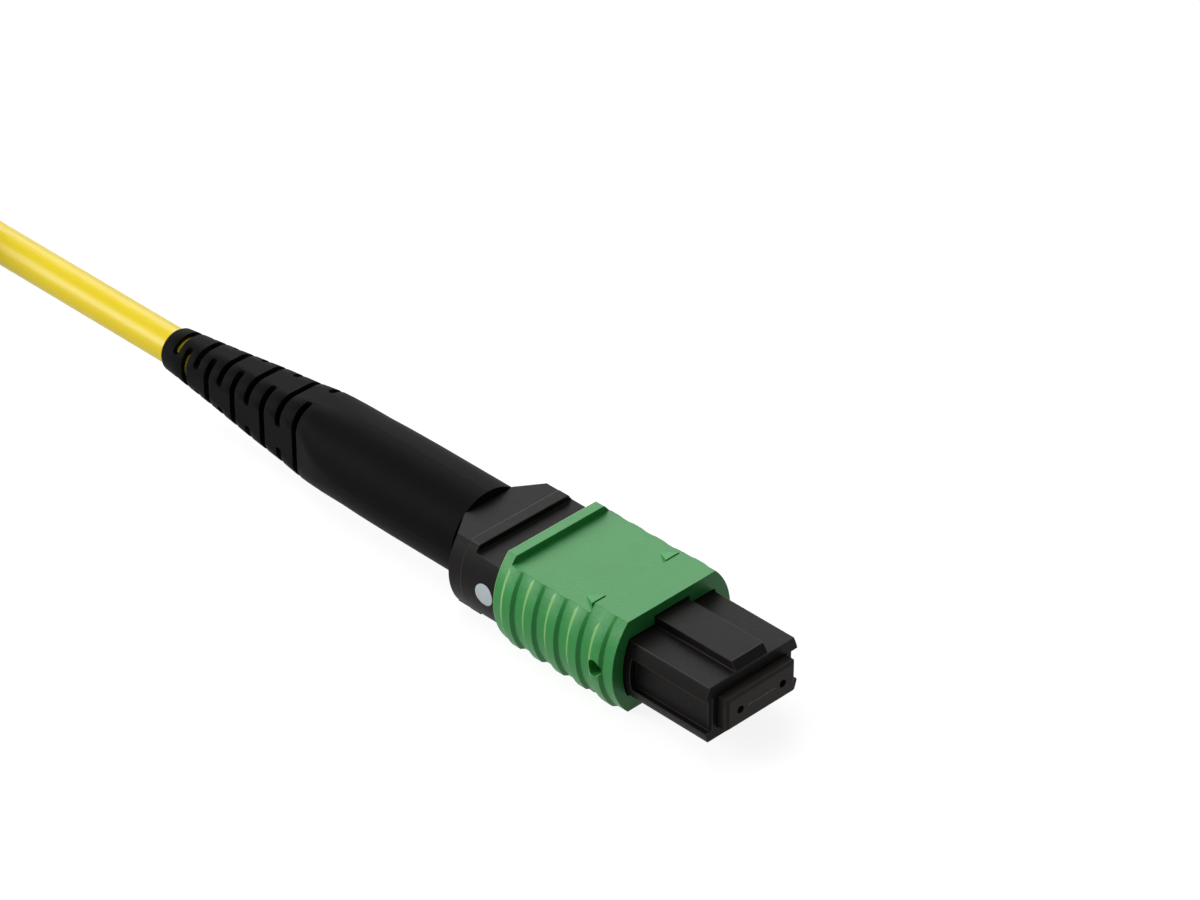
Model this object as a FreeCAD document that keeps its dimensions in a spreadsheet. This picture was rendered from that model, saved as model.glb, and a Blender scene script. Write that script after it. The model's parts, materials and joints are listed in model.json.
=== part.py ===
import FreeCAD, Part
import math
import os

import Sketcher

# A twelve-fibre push-on (MPO) connector with its sprung ferrule, sliding coupling sleeve,
# strain relief boot and a short fibre pigtail. Millimetres. The origin is the middle of the
# ferrule's end face, +X points out of the mating end, +Z is the keyed side.

doc = FreeCAD.newDocument("mpo_connector")


# ---------------------------------------------------------------- driving dimensions

SIZES = {
    # ferrule
    "fibre_pitch": 0.25,
    "bare_fibre_diameter": 0.125,
    "coated_fibre_diameter": 0.22,
    "fibre_hole_play": 0.002,
    "guide_hole_pitch": 4.6,
    "guide_hole_diameter": 0.7,
    "ferrule_width": 7.4,
    "ferrule_height": 2.9,
    "ferrule_bevel": 0.2,
    "ferrule_length": 8.0,
    "ferrule_lip": 0.2,
    "ferrule_lip_length": 2.7,
    "ferrule_block": 3.0,
    "ferrule_window_width": 3.6,
    "ferrule_window_height": 1.6,
    "ferrule_travel": 1.0,
    # pieces behind the ferrule
    "keeper_length": 1.2,
    "keeper_inset": 0.2,
    "keeper_window_width": 3.4,
    "keeper_window_height": 1.7,
    "ferrule_boot_length": 5.8,
    "ferrule_boot_front": 4.2,
    "ribbon_play": 0.03,
    # main spring
    "spring_wire": 0.45,
    "spring_bend_radius": 1.3,
    "spring_half_straight": 1.75,
    "spring_turns": 5,
    # plug housing
    "plug_front": 1.04,
    "plug_top": 2.63,
    "plug_bottom": 2.42,
    "plug_step": 0.8,
    "plug_side_radius": 6.3,
    "plug_centre_height": -0.1,
    "key_width": 3.5,
    "key_height": 0.75,
    "key_rake": 0.55,
    "key_end": 17.0,
    "recess_reach": 4.51,
    "recess_top": 1.4,
    "recess_bottom": 1.5,
    "recess_end": 8.9,
    "wall_bevel": 0.22,
    "window_play": 0.1,
    "cavity_play": 0.15,
    "shoulder": 19.6,
    "neck_top": 2.8,
    "neck_bottom": 2.7,
    "body_reach": 6.0,
    "body_side_radius": 5.3,
    "body_centre_height": 0.05,
    "collar_front": 25.75,
    "collar_top": 3.4,
    "collar_bottom": 3.3,
    "seam": 26.85,
    "seam_play": 0.04,
    "seam_step": 0.1,
    # spring push body
    "push_front": 17.8,
    "push_height": 3.1,
    "push_corner": 28.25,
    "push_rear": 29.8,
    "push_corner_half_width": 4.85,
    "push_rear_half_width": 2.6,
    "barrel_diameter": 4.6,
    "barrel_bore": 3.4,
    "barrel_end": 38.2,
    "hook_reach": 4.6,
    "hook_front": 21.0,
    "hook_length": 1.5,
    "hook_height": 2.0,
    "hook_play": 0.1,
    # coupling sleeve
    "sleeve_front": 9.55,
    "sleeve_rear": 22.7,
    "sleeve_top": 4.4,
    "sleeve_bottom": 4.1,
    "sleeve_wall": 0.45,
    "sleeve_side_radius": 6.16,
    "sleeve_centre_height": 0.15,
    "sleeve_travel": 2.9,
    "panel_depth": 0.6,
    "front_band": 3.55,
    "rear_lip": 1.0,
    "rib_height": 0.25,
    "rib_rise": 0.37,
    "rib_land": 0.9,
    "rib_fall": 0.27,
    "rib_pitch": 2.42,
    "rib_first": 21.0,
    "mouth_end": 12.2,
    "mouth_play": 0.1,
    "mouth_head_room": 0.15,
    "bore_play": 0.08,
    "tab_height": 1.2,
    "tab_front": 11.05,
    "tab_play": 0.05,
    "core_hole_diameter": 1.4,
    "core_hole_place": 11.37,
    "core_hole_height": 0.12,
    "core_hole_floor": 5.0,
    "arrow_width": 1.5,
    "arrow_length": 1.4,
    "arrow_height": 0.2,
    "arrow_middle": 4.0,
    "arrow_gap": 0.35,
    # sleeve springs
    "channel_depth": 1.4,
    "channel_height": 1.5,
    "channel_front": 11.0,
    "channel_rear": 19.0,
    "coil_wire": 0.2,
    "coil_radius": 0.53,
    "coil_turns": 6,
    "coil_play": 0.05,
    # position dot
    "dot_diameter": 1.9,
    "dot_thickness": 0.03,
    "dot_place": 24.15,
    # crimp, boot and cable
    "cable_diameter": 3.3,
    "cable_bore": 2.3,
    "jacket_web": 2.0,
    "cable_inner_end": 38.6,
    "cable_outer_end": 66.0,
    "crimp_wall": 0.4,
    "crimp_front": 31.5,
    "crimp_step": 38.4,
    "crimp_waist": 39.4,
    "crimp_rear": 43.0,
    "aramid_thickness": 0.3,
    "boot_front": 29.85,
    "boot_rear": 67.7,
    "boot_radius": 4.1,
    "boot_grip_end": 38.5,
    "boot_neck_start": 44.0,
    "boot_shoulder": 48.0,
    "boot_shoulder_radius": 4.0,
    "boot_taper_start": 50.0,
    "boot_taper_radius": 3.72,
    "boot_tail_radius": 2.05,
    "boot_edge": 0.35,
    "boot_bore_end": 43.6,
    "boot_play": 0.15,
    "cable_play": 0.05,
    "slot_width": 0.72,
    "slot_web": 26.0,
    "slot_web_turn": 77.0,
    "slot_lead": 1.1,
    "slot_tail": 2.04,
    "slot_spread": 0.06,
    # put-away cable
    "hank_front": 100.0,
    "hank_run": 31.0,
    "hank_fold_radius": 9.9,
    "hank_rows": 3,
    "hank_crown": 2.86,
    "hank_aside": 10.2,
    "tie_width": 8.0,
    "tie_thickness": 0.5,
}

SLOT_ROWS = 10
COIL_SIDES = 10
WIRE_SIDES = 6
FIBRE_SIDES = 6
END_TURN_PITCH = 1.15
FIBRE_COLOURS = (
    "blue", "orange", "green", "brown", "slate", "white",
    "red", "black", "yellow", "violet", "rose", "aqua",
)
RIB_COUNT = 5

sheet = doc.addObject("Spreadsheet::Sheet", "Sizes")
for row, (word, number) in enumerate(SIZES.items(), start=1):
    sheet.set(f"A{row}", word)
    sheet.set(f"B{row}", str(number))
    sheet.setAlias(f"B{row}", word)
doc.recompute()


class Size:
    """A length that carries both its number and the expression that binds it to the sheet."""

    def __init__(self, number, text):
        self.number = number
        self.text = text

    def __float__(self):
        return float(self.number)

    def __add__(self, other):
        other = as_size(other)
        return Size(self.number + other.number, f"({self.text} + {other.text})")

    __radd__ = __add__

    def __neg__(self):
        return Size(-self.number, f"(0 - {self.text})")

    def __sub__(self, other):
        other = as_size(other)
        return Size(self.number - other.number, f"({self.text} - {other.text})")

    def __rsub__(self, other):
        return as_size(other) - self

    def __mul__(self, other):
        other = as_size(other)
        return Size(self.number * other.number, f"({self.text} * {other.text})")

    __rmul__ = __mul__

    def __truediv__(self, other):
        other = as_size(other)
        return Size(self.number / other.number, f"({self.text} / {other.text})")


def as_size(thing):
    """A plain number becomes a Size whose expression is the number itself."""
    return thing if isinstance(thing, Size) else Size(thing, repr(thing))


def root(size):
    return Size(math.sqrt(size.number), f"sqrt({size.text})")


def size(word):
    """The size that the sheet holds under this alias."""
    return Size(float(getattr(sheet, word)), f"Sizes.{word}")


def bind(thing, member, amount):
    """Set a property, and bind it to the sheet."""
    thing.setExpression(member, as_size(amount).text)


# ---------------------------------------------------------------- building helpers

def primitive(kind, name, place, turn=None, **members):
    """A Part primitive at a bound place, with its sizes bound."""
    thing = doc.addObject(kind, name)
    if turn:
        thing.Placement = FreeCAD.Placement(FreeCAD.Vector(), turn)
    for axis, amount in zip("xyz", place):
        bind(thing, f"Placement.Base.{axis}", amount)
    for member, amount in members.items():
        bind(thing, member, amount)
    return thing


def block(name, low, high):
    """A box between two corners."""
    spans = [as_size(b) - as_size(a) for a, b in zip(low, high)]
    return primitive("Part::Box", name, low, Length=spans[0], Width=spans[1], Height=spans[2])


ALONG_X = FreeCAD.Rotation(FreeCAD.Vector(0, 1, 0), 90)
ALONG_Y = FreeCAD.Rotation(FreeCAD.Vector(1, 0, 0), -90)
UP_TO_REAR = FreeCAD.Rotation(FreeCAD.Vector(0, 1, 0), -90)


def rod(name, start, end, radius, across=0, up=0):
    """A cylinder along X from start to end, with end the greater."""
    length = as_size(end) - as_size(start)
    return primitive("Part::Cylinder", name, (start, across, up), ALONG_X, Radius=radius, Height=length)


def cut(name, base, *tools):
    """Base less the tools."""
    thing = doc.addObject("Part::Cut", name)
    thing.Base = base
    thing.Tool = tools[0] if len(tools) == 1 else fuse(f"{name}_tools", *tools)
    return thing


def fuse(name, *shapes):
    thing = doc.addObject("Part::MultiFuse", name)
    thing.Shapes = list(shapes)
    return thing


def common(name, *shapes):
    thing = doc.addObject("Part::MultiCommon", name)
    thing.Shapes = list(shapes)
    return thing


def plane(body, role):
    return next(f for f in body.Origin.OriginFeatures if f.Role == role)


def sketch_on(body, name, role, offset=0):
    """An empty sketch on one of the body's origin planes, moved along its normal."""
    sketch = body.newObject("Sketcher::SketchObject", name)
    sketch.AttachmentSupport = (plane(body, role), [""])
    sketch.MapMode = "FlatFace"
    bind(sketch, "AttachmentOffset.Base.z", offset)
    return sketch


def pin_point(sketch, edge, corner):
    """Tie an edge's start to the origin by two bound distances."""
    for kind, amount in zip(("DistanceX", "DistanceY"), corner):
        amount = as_size(amount)
        if amount.number == 0:
            axis = -2 if kind == "DistanceX" else -1
            sketch.addConstraint(Sketcher.Constraint("PointOnObject", edge, 1, axis))
            continue
        index = sketch.addConstraint(Sketcher.Constraint(kind, -1, 1, edge, 1, amount.number))
        bind(sketch, f"Constraints[{index}]", amount)


def outline(sketch, corners, bows=None):
    """A closed outline, anticlockwise; bows gives the radius of each edge that bows outwards."""
    bows = bows or {}
    first = sketch.GeometryCount
    spots = [FreeCAD.Vector(float(as_size(u)), float(as_size(v)), 0) for u, v in corners]
    for number, start in enumerate(spots):
        end = spots[(number + 1) % len(spots)]
        if number not in bows:
            sketch.addGeometry(Part.LineSegment(start, end), False)
            continue
        radius = float(bows[number])
        chord = end - start
        inward = FreeCAD.Vector(-chord.y, chord.x, 0).normalize()
        depth = math.sqrt(radius ** 2 - (chord.Length / 2) ** 2)
        middle = (start + end) * 0.5 + inward * depth
        angles = [math.atan2(p.y - middle.y, p.x - middle.x) for p in (start, end)]
        circle = Part.Circle(middle, FreeCAD.Vector(0, 0, 1), radius)
        sketch.addGeometry(Part.ArcOfCircle(circle, angles[0], angles[1]), False)
    count = len(spots)
    for number in range(count):
        here, after = first + number, first + (number + 1) % count
        sketch.addConstraint(Sketcher.Constraint("Coincident", here, 2, after, 1))
    for number, corner in enumerate(corners):
        pin_point(sketch, first + number, corner)
    for number, radius in bows.items():
        index = sketch.addConstraint(Sketcher.Constraint("Radius", first + number, float(radius)))
        bind(sketch, f"Constraints[{index}]", radius)
    return sketch


def rectangle(half_width, low, high):
    """The corners of a rectangle about the sketch's vertical axis."""
    return [(-half_width, low), (half_width, low), (half_width, high), (-half_width, high)]


def pad(body, name, sketch, length, backwards=True):
    """Pad a sketch; backwards means against the plane's normal, which is -X on the YZ plane."""
    feature = body.newObject("PartDesign::Pad", name)
    feature.Profile = sketch
    feature.Reversed = backwards
    bind(feature, "Length", length)
    doc.recompute()
    return feature


def pocket(body, name, sketch, length):
    """Cut a sketch into the body, and make sure that something was removed."""
    before = body.Shape.Volume
    feature = body.newObject("PartDesign::Pocket", name)
    feature.Profile = sketch
    bind(feature, "Length", length)
    doc.recompute()
    if not body.Shape.Volume < before:
        raise ValueError(f"{name} removes nothing from {body.Name}")
    return feature


def slab(body, name, corners, front, rear, bows=None, cutting=False):
    """An outline across X, padded into or cut out of the body from front back to rear."""
    sketch = outline(sketch_on(body, f"{name}_outline", "YZ_Plane", -as_size(front)), corners, bows)
    length = as_size(rear) - as_size(front)
    return pocket(body, name, sketch, length) if cutting else pad(body, name, sketch, length)


def half_width_at(height, reach, radius, centre):
    """Half the width, at this height, of a section whose sides are arcs that reach out this far."""
    rise = as_size(height) - centre
    return reach - radius + root(radius * radius - rise * rise)


def bowed_section(reach, radius, centre, low, high):
    """A section with flat top and bottom and bowed sides: its corners and its bows."""
    lower = half_width_at(low, reach, radius, centre)
    upper = half_width_at(high, reach, radius, centre)
    corners = [(-lower, low), (lower, low), (upper, high), (-upper, high)]
    return corners, {1: radius, 3: radius}


parts = []


def finish(thing, label):
    """Name a finished sub-part and put it on the list that is exported."""
    thing.Label = label
    parts.append(thing)
    return thing


# ---------------------------------------------------------------- ferrule group

fibre_count = len(FIBRE_COLOURS)
ferrule_half_width = size("ferrule_width") / 2
ferrule_half_height = size("ferrule_height") / 2
keeper_front = size("ferrule_length")
keeper_rear = keeper_front + size("keeper_length")
ribbon_half_width = (size("fibre_pitch") * (fibre_count - 1) + size("coated_fibre_diameter")) / 2


def fibre_place(number):
    """How far across the ferrule a fibre lies."""
    return size("fibre_pitch") * (number - (fibre_count - 1) / 2)


def make_ferrule():
    """The moulded ferrule: end block, rear lip, guide holes, fibre holes and rear window."""
    body = doc.addObject("PartDesign::Body", "ferrule")
    front = rectangle(ferrule_half_width, -ferrule_half_height, ferrule_half_height)
    slab(body, "ferrule_block", front, 0, size("ferrule_length"))
    rim = [f"Edge{number}" for number, edge in enumerate(body.Tip.Shape.Edges, 1) if edge.BoundBox.XMin > -0.01]
    bevel = body.newObject("PartDesign::Chamfer", "ferrule_rim")
    bevel.Base = (body.getObject("ferrule_block"), rim)
    bind(bevel, "Size", size("ferrule_bevel"))
    doc.recompute()
    lip_width = ferrule_half_width + size("ferrule_lip")
    lip_height = ferrule_half_height + size("ferrule_lip")
    lip_front = size("ferrule_length") - size("ferrule_lip_length")
    slab(body, "ferrule_lip", rectangle(lip_width, -lip_height, lip_height), lip_front, size("ferrule_length"))
    window_top = size("ferrule_window_height") / 2
    window = rectangle(size("ferrule_window_width") / 2, -window_top, window_top)
    slab(body, "fibre_window", window, size("ferrule_block"), size("ferrule_length"), cutting=True)
    holes = sketch_on(body, "hole_places", "YZ_Plane", 0)
    fibre_radius = (size("bare_fibre_diameter") / 2 + size("fibre_hole_play")) / math.cos(math.pi / FIBRE_SIDES)
    for number in range(fibre_count):
        outline(holes, many_sided(fibre_place(number), 0, fibre_radius, FIBRE_SIDES))
    pocket(body, "fibre_holes", holes, size("ferrule_block"))
    guides = sketch_on(body, "guide_places", "YZ_Plane", 0)
    for side in (-1, 1):
        add_circle(guides, size("guide_hole_pitch") / 2 * side, 0, size("guide_hole_diameter") / 2)
    pocket(body, "guide_holes", guides, size("ferrule_length"))
    return finish(body, "ferrule")


def many_sided(across, up, radius, sides):
    """The corners of a regular outline inside a circle, with a flat side at the top."""
    turns = [2 * math.pi * (number + 0.5) / sides + math.pi / 2 for number in range(sides)]
    return [(across + radius * math.cos(turn), up + radius * math.sin(turn)) for turn in turns]


def add_circle(sketch, across, up, radius):
    """A circle with a bound centre and radius."""
    radius, across, up = as_size(radius), as_size(across), as_size(up)
    centre = FreeCAD.Vector(across.number, up.number, 0)
    circle = Part.Circle(centre, FreeCAD.Vector(0, 0, 1), radius.number)
    edge = sketch.addGeometry(circle, False)
    index = sketch.addConstraint(Sketcher.Constraint("Radius", edge, radius.number))
    bind(sketch, f"Constraints[{index}]", radius)
    for kind, amount in (("DistanceX", across), ("DistanceY", up)):
        if amount.number == 0:
            axis = -2 if kind == "DistanceX" else -1
            sketch.addConstraint(Sketcher.Constraint("PointOnObject", edge, 3, axis))
            continue
        index = sketch.addConstraint(Sketcher.Constraint(kind, -1, 1, edge, 3, amount.number))
        bind(sketch, f"Constraints[{index}]", amount)


def make_keeper():
    """The sheet-metal keeper that closes the ferrule's rear and carries the spring."""
    half_width = ferrule_half_width + size("ferrule_lip") - size("keeper_inset")
    half_height = ferrule_half_height + size("ferrule_lip") - size("keeper_inset")
    plate = block("keeper_plate", (-keeper_rear, -half_width, -half_height),
                  (-keeper_front, half_width, half_height))
    window_width = size("keeper_window_width") / 2
    window_height = size("keeper_window_height") / 2
    window = block("keeper_window", (-keeper_rear - 1, -window_width, -window_height),
                   (-keeper_front + 1, window_width, window_height))
    guides = [
        rod(f"keeper_pin_hole_{side}", -keeper_rear - 1, -keeper_front + 1,
            size("guide_hole_diameter") / 2, size("guide_hole_pitch") / 2 * sign)
        for side, sign in (("left", -1), ("right", 1))
    ]
    return finish(cut("pin_keeper", plate, window, *guides), "pin_keeper")


def make_ferrule_boot():
    """The rubber guide around the ribbon, seated in the ferrule's rear window."""
    play = size("ribbon_play")
    front = -size("ferrule_boot_front")
    rear = front - size("ferrule_boot_length")
    half_width = size("keeper_window_width") / 2 - play * 2
    half_height = size("ferrule_window_height") / 2 - play * 2
    outer = block("guide_outer", (rear, -half_width, -half_height), (front, half_width, half_height))
    slot_width = ribbon_half_width + play
    slot_height = size("coated_fibre_diameter") / 2 + play
    slot = block("guide_slot", (rear - 1, -slot_width, -slot_height), (front + 1, slot_width, slot_height))
    return finish(cut("ferrule_boot", outer, slot), "ferrule_boot")


def shifted_path(start, end, offset):
    """Two equal tangent arcs that carry a line along -X over to a parallel one."""
    length = (end - start).Length
    shift = offset.Length
    side = offset * (1 / shift)
    ahead = (end - start) * (1 / length)
    radius = (length ** 2 + shift ** 2) / (4 * shift)
    sag = radius - math.sqrt(radius ** 2 - (length / 4) ** 2)
    middle = start + ahead * (length / 2) + side * (shift / 2)
    near = start + ahead * (length / 4) + side * sag
    far = end + offset - ahead * (length / 4) - side * sag
    return [Part.Arc(start, near, middle), Part.Arc(middle, far, end + offset)]


def ring_wire(centre, heading, radius, sides):
    """A closed outline of this many equal sides, square to a heading that isn't upright."""
    heading = FreeCAD.Vector(heading).normalize()
    across = FreeCAD.Vector(0, 0, 1).cross(heading).normalize()
    up = heading.cross(across)
    turns = [2 * math.pi * (number + 0.5) / sides for number in range(sides)]
    corners = [centre + across * (radius * math.cos(turn)) + up * (radius * math.sin(turn)) for turn in turns]
    return Part.makePolygon(corners + corners[:1])


def make_fibre(number, colour):
    """One fibre: bare in the ferrule, coated behind it, then gathered into the cable's round core."""
    across = float(fibre_place(number))
    back = FreeCAD.Vector(-1, 0, 0)
    tip = FreeCAD.Vector(0, across, 0)
    start = FreeCAD.Vector(-sheet.ferrule_block, across, 0)
    bare_section = ring_wire(tip, back, sheet.bare_fibre_diameter / 2, FIBRE_SIDES)
    bare = Part.Face(bare_section).extrude(start - tip)
    turn = math.pi * (number + 0.5) / fibre_count
    side = 1 if number % 2 else -1
    ring_radius = (sheet.cable_bore - sheet.coated_fibre_diameter) / 2 - sheet.ribbon_play * 4
    gathered = FreeCAD.Vector(0, -ring_radius * math.cos(turn) - across, side * ring_radius * math.sin(turn))
    leave = FreeCAD.Vector(-(sheet.push_front + sheet.push_corner) / 2, across, 0)
    arrive = FreeCAD.Vector(-sheet.barrel_end, across, 0)
    rear = FreeCAD.Vector(-sheet.crimp_rear - sheet.ferrule_travel, across, 0) + gathered
    curves = [Part.LineSegment(start, leave)]
    curves += shifted_path(leave, arrive, gathered)
    curves += [Part.LineSegment(arrive + gathered, rear)]
    path = Part.Wire([curve.toShape() for curve in curves])
    section = ring_wire(start, back, sheet.coated_fibre_diameter / 2, FIBRE_SIDES)
    coated = path.makePipeShell([section], True, False)
    fibre = doc.addObject("Part::Feature", f"fibre_{number + 1:02d}_{colour}")
    fibre.Shape = bare.fuse(coated)
    return finish(fibre, f"fibre_{number + 1:02d}_{colour}")


def coil_shape(turn, turns, height, wire):
    """A coil of straight lengths with mitred corners, up the Z axis, with a closed turn at each end.

    The turn is the list of its corners in the XY plane, turns counts the open ones between the
    closed ends, and height is from the middle of the first end's wire to that of the last.
    """
    count = len(turn)
    lengths = [(turn[(k + 1) % count] - turn[k]).Length for k in range(count)]
    closed = wire * END_TURN_PITCH
    opened = (height - 2 * closed) / turns
    rise = 0.0
    points = [turn[0]]
    for number in range(turns + 2):
        pitch = closed if number in (0, turns + 1) else opened
        for k in range(count):
            rise += pitch * lengths[k] / sum(lengths)
            points.append(turn[(k + 1) % count] + FreeCAD.Vector(0, 0, rise))
    section = ring_wire(points[0], points[1] - points[0], wire / 2, WIRE_SIDES)
    right_corner = 1
    return Part.makePolygon(points).makePipeShell([section], True, False, right_corner)


def make_main_spring():
    """The oval compression spring between the keeper and the spring push body."""
    wire = sheet.spring_wire
    rear_of_keeper = float(keeper_rear)
    seat = wire / 2 + sheet.coil_play
    turn = []
    for side in (1, -1):
        for number in range(COIL_SIDES // 2 + 1):
            angle = 2 * math.pi * number / COIL_SIDES
            corner = FreeCAD.Vector(math.cos(angle), math.sin(angle), 0) * (side * sheet.spring_bend_radius)
            turn.append(corner + FreeCAD.Vector(0, side * sheet.spring_half_straight, 0))
    spring = doc.addObject("Part::Feature", "main_spring")
    height = sheet.push_front - rear_of_keeper - 2 * seat
    spring.Shape = coil_shape(turn, int(sheet.spring_turns), height, wire)
    spring.Placement = FreeCAD.Placement(FreeCAD.Vector(-rear_of_keeper - seat, 0, 0), UP_TO_REAR)
    return finish(spring, "main_spring")


# ---------------------------------------------------------------- plug housing

cavity_half_width = ferrule_half_width + size("ferrule_lip") + size("cavity_play")
cavity_half_height = ferrule_half_height + size("ferrule_lip") + size("cavity_play")
lip_seat = size("ferrule_length") - size("ferrule_lip_length") - size("ribbon_play")
sleeve_reach = size("body_reach") + size("sleeve_wall")
plug_reach = size("body_reach") - size("plug_step")
channel_floor = size("body_reach") - size("channel_depth")


def side_boxes(low, high, bottom, top):
    """The corners of two rectangles, one on each side, between two distances from the middle."""
    right = [(low, bottom), (high, bottom), (high, top), (low, top)]
    left = [(-high, bottom), (-low, bottom), (-low, top), (-high, top)]
    return left, right


def side_pockets(body, name, low, high, bottom, top, front, rear):
    """A pocket on each side of the body, from front back to rear."""
    sketch = sketch_on(body, f"{name}_outline", "YZ_Plane", -as_size(front))
    for corners in side_boxes(low, high, bottom, top):
        outline(sketch, corners)
    return pocket(body, name, sketch, as_size(rear) - as_size(front))


def make_housing():
    """The plug: keyed nose, side recesses, ferrule seat, spring channels, neck and collar."""
    body = doc.addObject("PartDesign::Body", "inner_housing")
    corners, bows = bowed_section(plug_reach, size("plug_side_radius"), size("plug_centre_height"),
                                  -size("plug_bottom"), size("plug_top"))
    slab(body, "plug", corners, size("plug_front"), size("shoulder"), bows)
    corners, bows = bowed_section(size("body_reach"), size("body_side_radius"), size("body_centre_height"),
                                  -size("neck_bottom"), size("neck_top"))
    slab(body, "neck", corners, size("shoulder"), size("seam"), bows)
    corners, bows = bowed_section(size("body_reach"), size("body_side_radius"), size("body_centre_height"),
                                  -size("collar_bottom"), size("collar_top"))
    slab(body, "collar", corners, size("collar_front"), size("seam"), bows)
    key_profile = sketch_on(body, "key_profile", "XZ_Plane", 0)
    key_top = size("plug_top") + size("key_height")
    outline(key_profile, [
        (-size("key_end"), 0),
        (-size("plug_front"), 0),
        (-size("plug_front"), size("plug_top")),
        (-size("plug_front") - size("key_rake"), key_top),
        (-size("key_end"), key_top),
    ])
    key = body.newObject("PartDesign::Pad", "key")
    key.Profile = key_profile
    key.Midplane = True
    bind(key, "Length", size("key_width"))
    doc.recompute()
    side_pockets(body, "side_recesses", size("recess_reach"), plug_reach + 1,
                 -size("recess_bottom"), size("recess_top"), size("plug_front"), size("recess_end"))
    bevels = sketch_on(body, "wall_bevel_places", "XY_Plane", size("recess_top"))
    for side in (-1, 1):
        outline(bevels, [
            (-size("plug_front"), size("recess_reach") * side),
            (-size("plug_front"), (size("recess_reach") - size("wall_bevel")) * side),
            (-size("plug_front") - size("wall_bevel"), size("recess_reach") * side),
        ])
    pocket(body, "wall_bevels", bevels, size("recess_top") + size("recess_bottom"))
    window_top = ferrule_half_height + size("window_play")
    slab(body, "ferrule_window", rectangle(ferrule_half_width + size("window_play"), -window_top, window_top),
         size("plug_front"), lip_seat, cutting=True)
    slab(body, "cavity", rectangle(cavity_half_width, -cavity_half_height, cavity_half_height),
         lip_seat, size("seam"), cutting=True)
    side_pockets(body, "spring_channels", channel_floor, plug_reach + 1,
                 -size("channel_height") / 2, size("channel_height") / 2,
                 size("channel_front"), size("channel_rear"))
    play = size("hook_play")
    side_pockets(body, "hook_windows", cavity_half_width - 1, size("hook_reach") + play,
                 -size("hook_height") / 2 - play, size("hook_height") / 2 + play,
                 size("hook_front") - play, size("hook_front") + size("hook_length") + play)
    return finish(body, "inner_housing")


def make_dot():
    """The painted position mark on the side of the neck, as thick as its paint."""
    radius = size("body_side_radius")
    centre = -(size("body_reach") - radius)
    height = size("body_centre_height")
    front, rear = -size("collar_front"), -size("sleeve_rear")
    paint = rod("dot_skin", front, rear, radius + size("dot_thickness"), centre, height)
    wall = rod("dot_wall", front, rear, radius, centre, height)
    shell = cut("dot_shell", paint, wall)
    stamp = primitive("Part::Cylinder", "dot_stamp",
                      (-size("dot_place"), -size("body_reach") - 1, height), ALONG_Y,
                      Radius=size("dot_diameter") / 2, Height=size("body_reach"))
    return finish(common("position_dot", shell, stamp), "position_dot")


# ---------------------------------------------------------------- spring push body

def make_push():
    """The latched rear body: spring seat, hooks, outer flange, tapered tongue and crimp barrel."""
    body = doc.addObject("PartDesign::Body", "spring_push")
    step = size("seam_step")
    flange_front = size("seam") + size("seam_play")
    corners, bows = bowed_section(size("body_reach") - step, size("body_side_radius"),
                                  size("body_centre_height"),
                                  -size("collar_bottom") + step, size("collar_top") - step)
    slab(body, "flange", corners, flange_front, size("push_corner"), bows)
    tongue = sketch_on(body, "tongue_outline", "XY_Plane", -size("collar_bottom") + step)
    corner, rear = size("push_corner_half_width"), size("push_rear_half_width")
    outline(tongue, [
        (-size("push_rear"), -rear),
        (-size("push_corner"), -corner),
        (-flange_front, -corner),
        (-flange_front, corner),
        (-size("push_corner"), corner),
        (-size("push_rear"), rear),
    ])
    pad(body, "tongue", tongue, size("collar_top") + size("collar_bottom") - step * 2, backwards=False)
    half_width = cavity_half_width - size("cavity_play")
    half_height = size("push_height") / 2
    slab(body, "spring_seat", rectangle(half_width, -half_height, half_height), size("push_front"), flange_front)
    barrel = sketch_on(body, "barrel_outline", "YZ_Plane", -size("push_rear") + 1)
    add_circle(barrel, 0, 0, size("barrel_diameter") / 2)
    pad(body, "barrel", barrel, size("barrel_end") - size("push_rear") + 1)
    bore = sketch_on(body, "bore_outline", "YZ_Plane", -size("push_front"))
    bore_half = size("barrel_bore") / 2
    outline(bore, rectangle(bore_half, -bore_half * 0.7, bore_half * 0.7))
    pocket(body, "ribbon_slot", bore, size("push_rear") - size("push_front"))
    core = sketch_on(body, "core_outline", "YZ_Plane", -size("push_corner"))
    add_circle(core, 0, 0, bore_half)
    pocket(body, "barrel_core", core, size("barrel_end") - size("push_corner"))
    hook_front = size("hook_front")
    hooks = sketch_on(body, "hooks_outline", "YZ_Plane", -hook_front)
    for corners in side_boxes(half_width - 0.5, size("hook_reach"), -size("hook_height") / 2,
                              size("hook_height") / 2):
        outline(hooks, corners)
    pad(body, "hooks", hooks, size("hook_length"))
    return finish(body, "spring_push")


# ---------------------------------------------------------------- coupling sleeve

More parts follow.
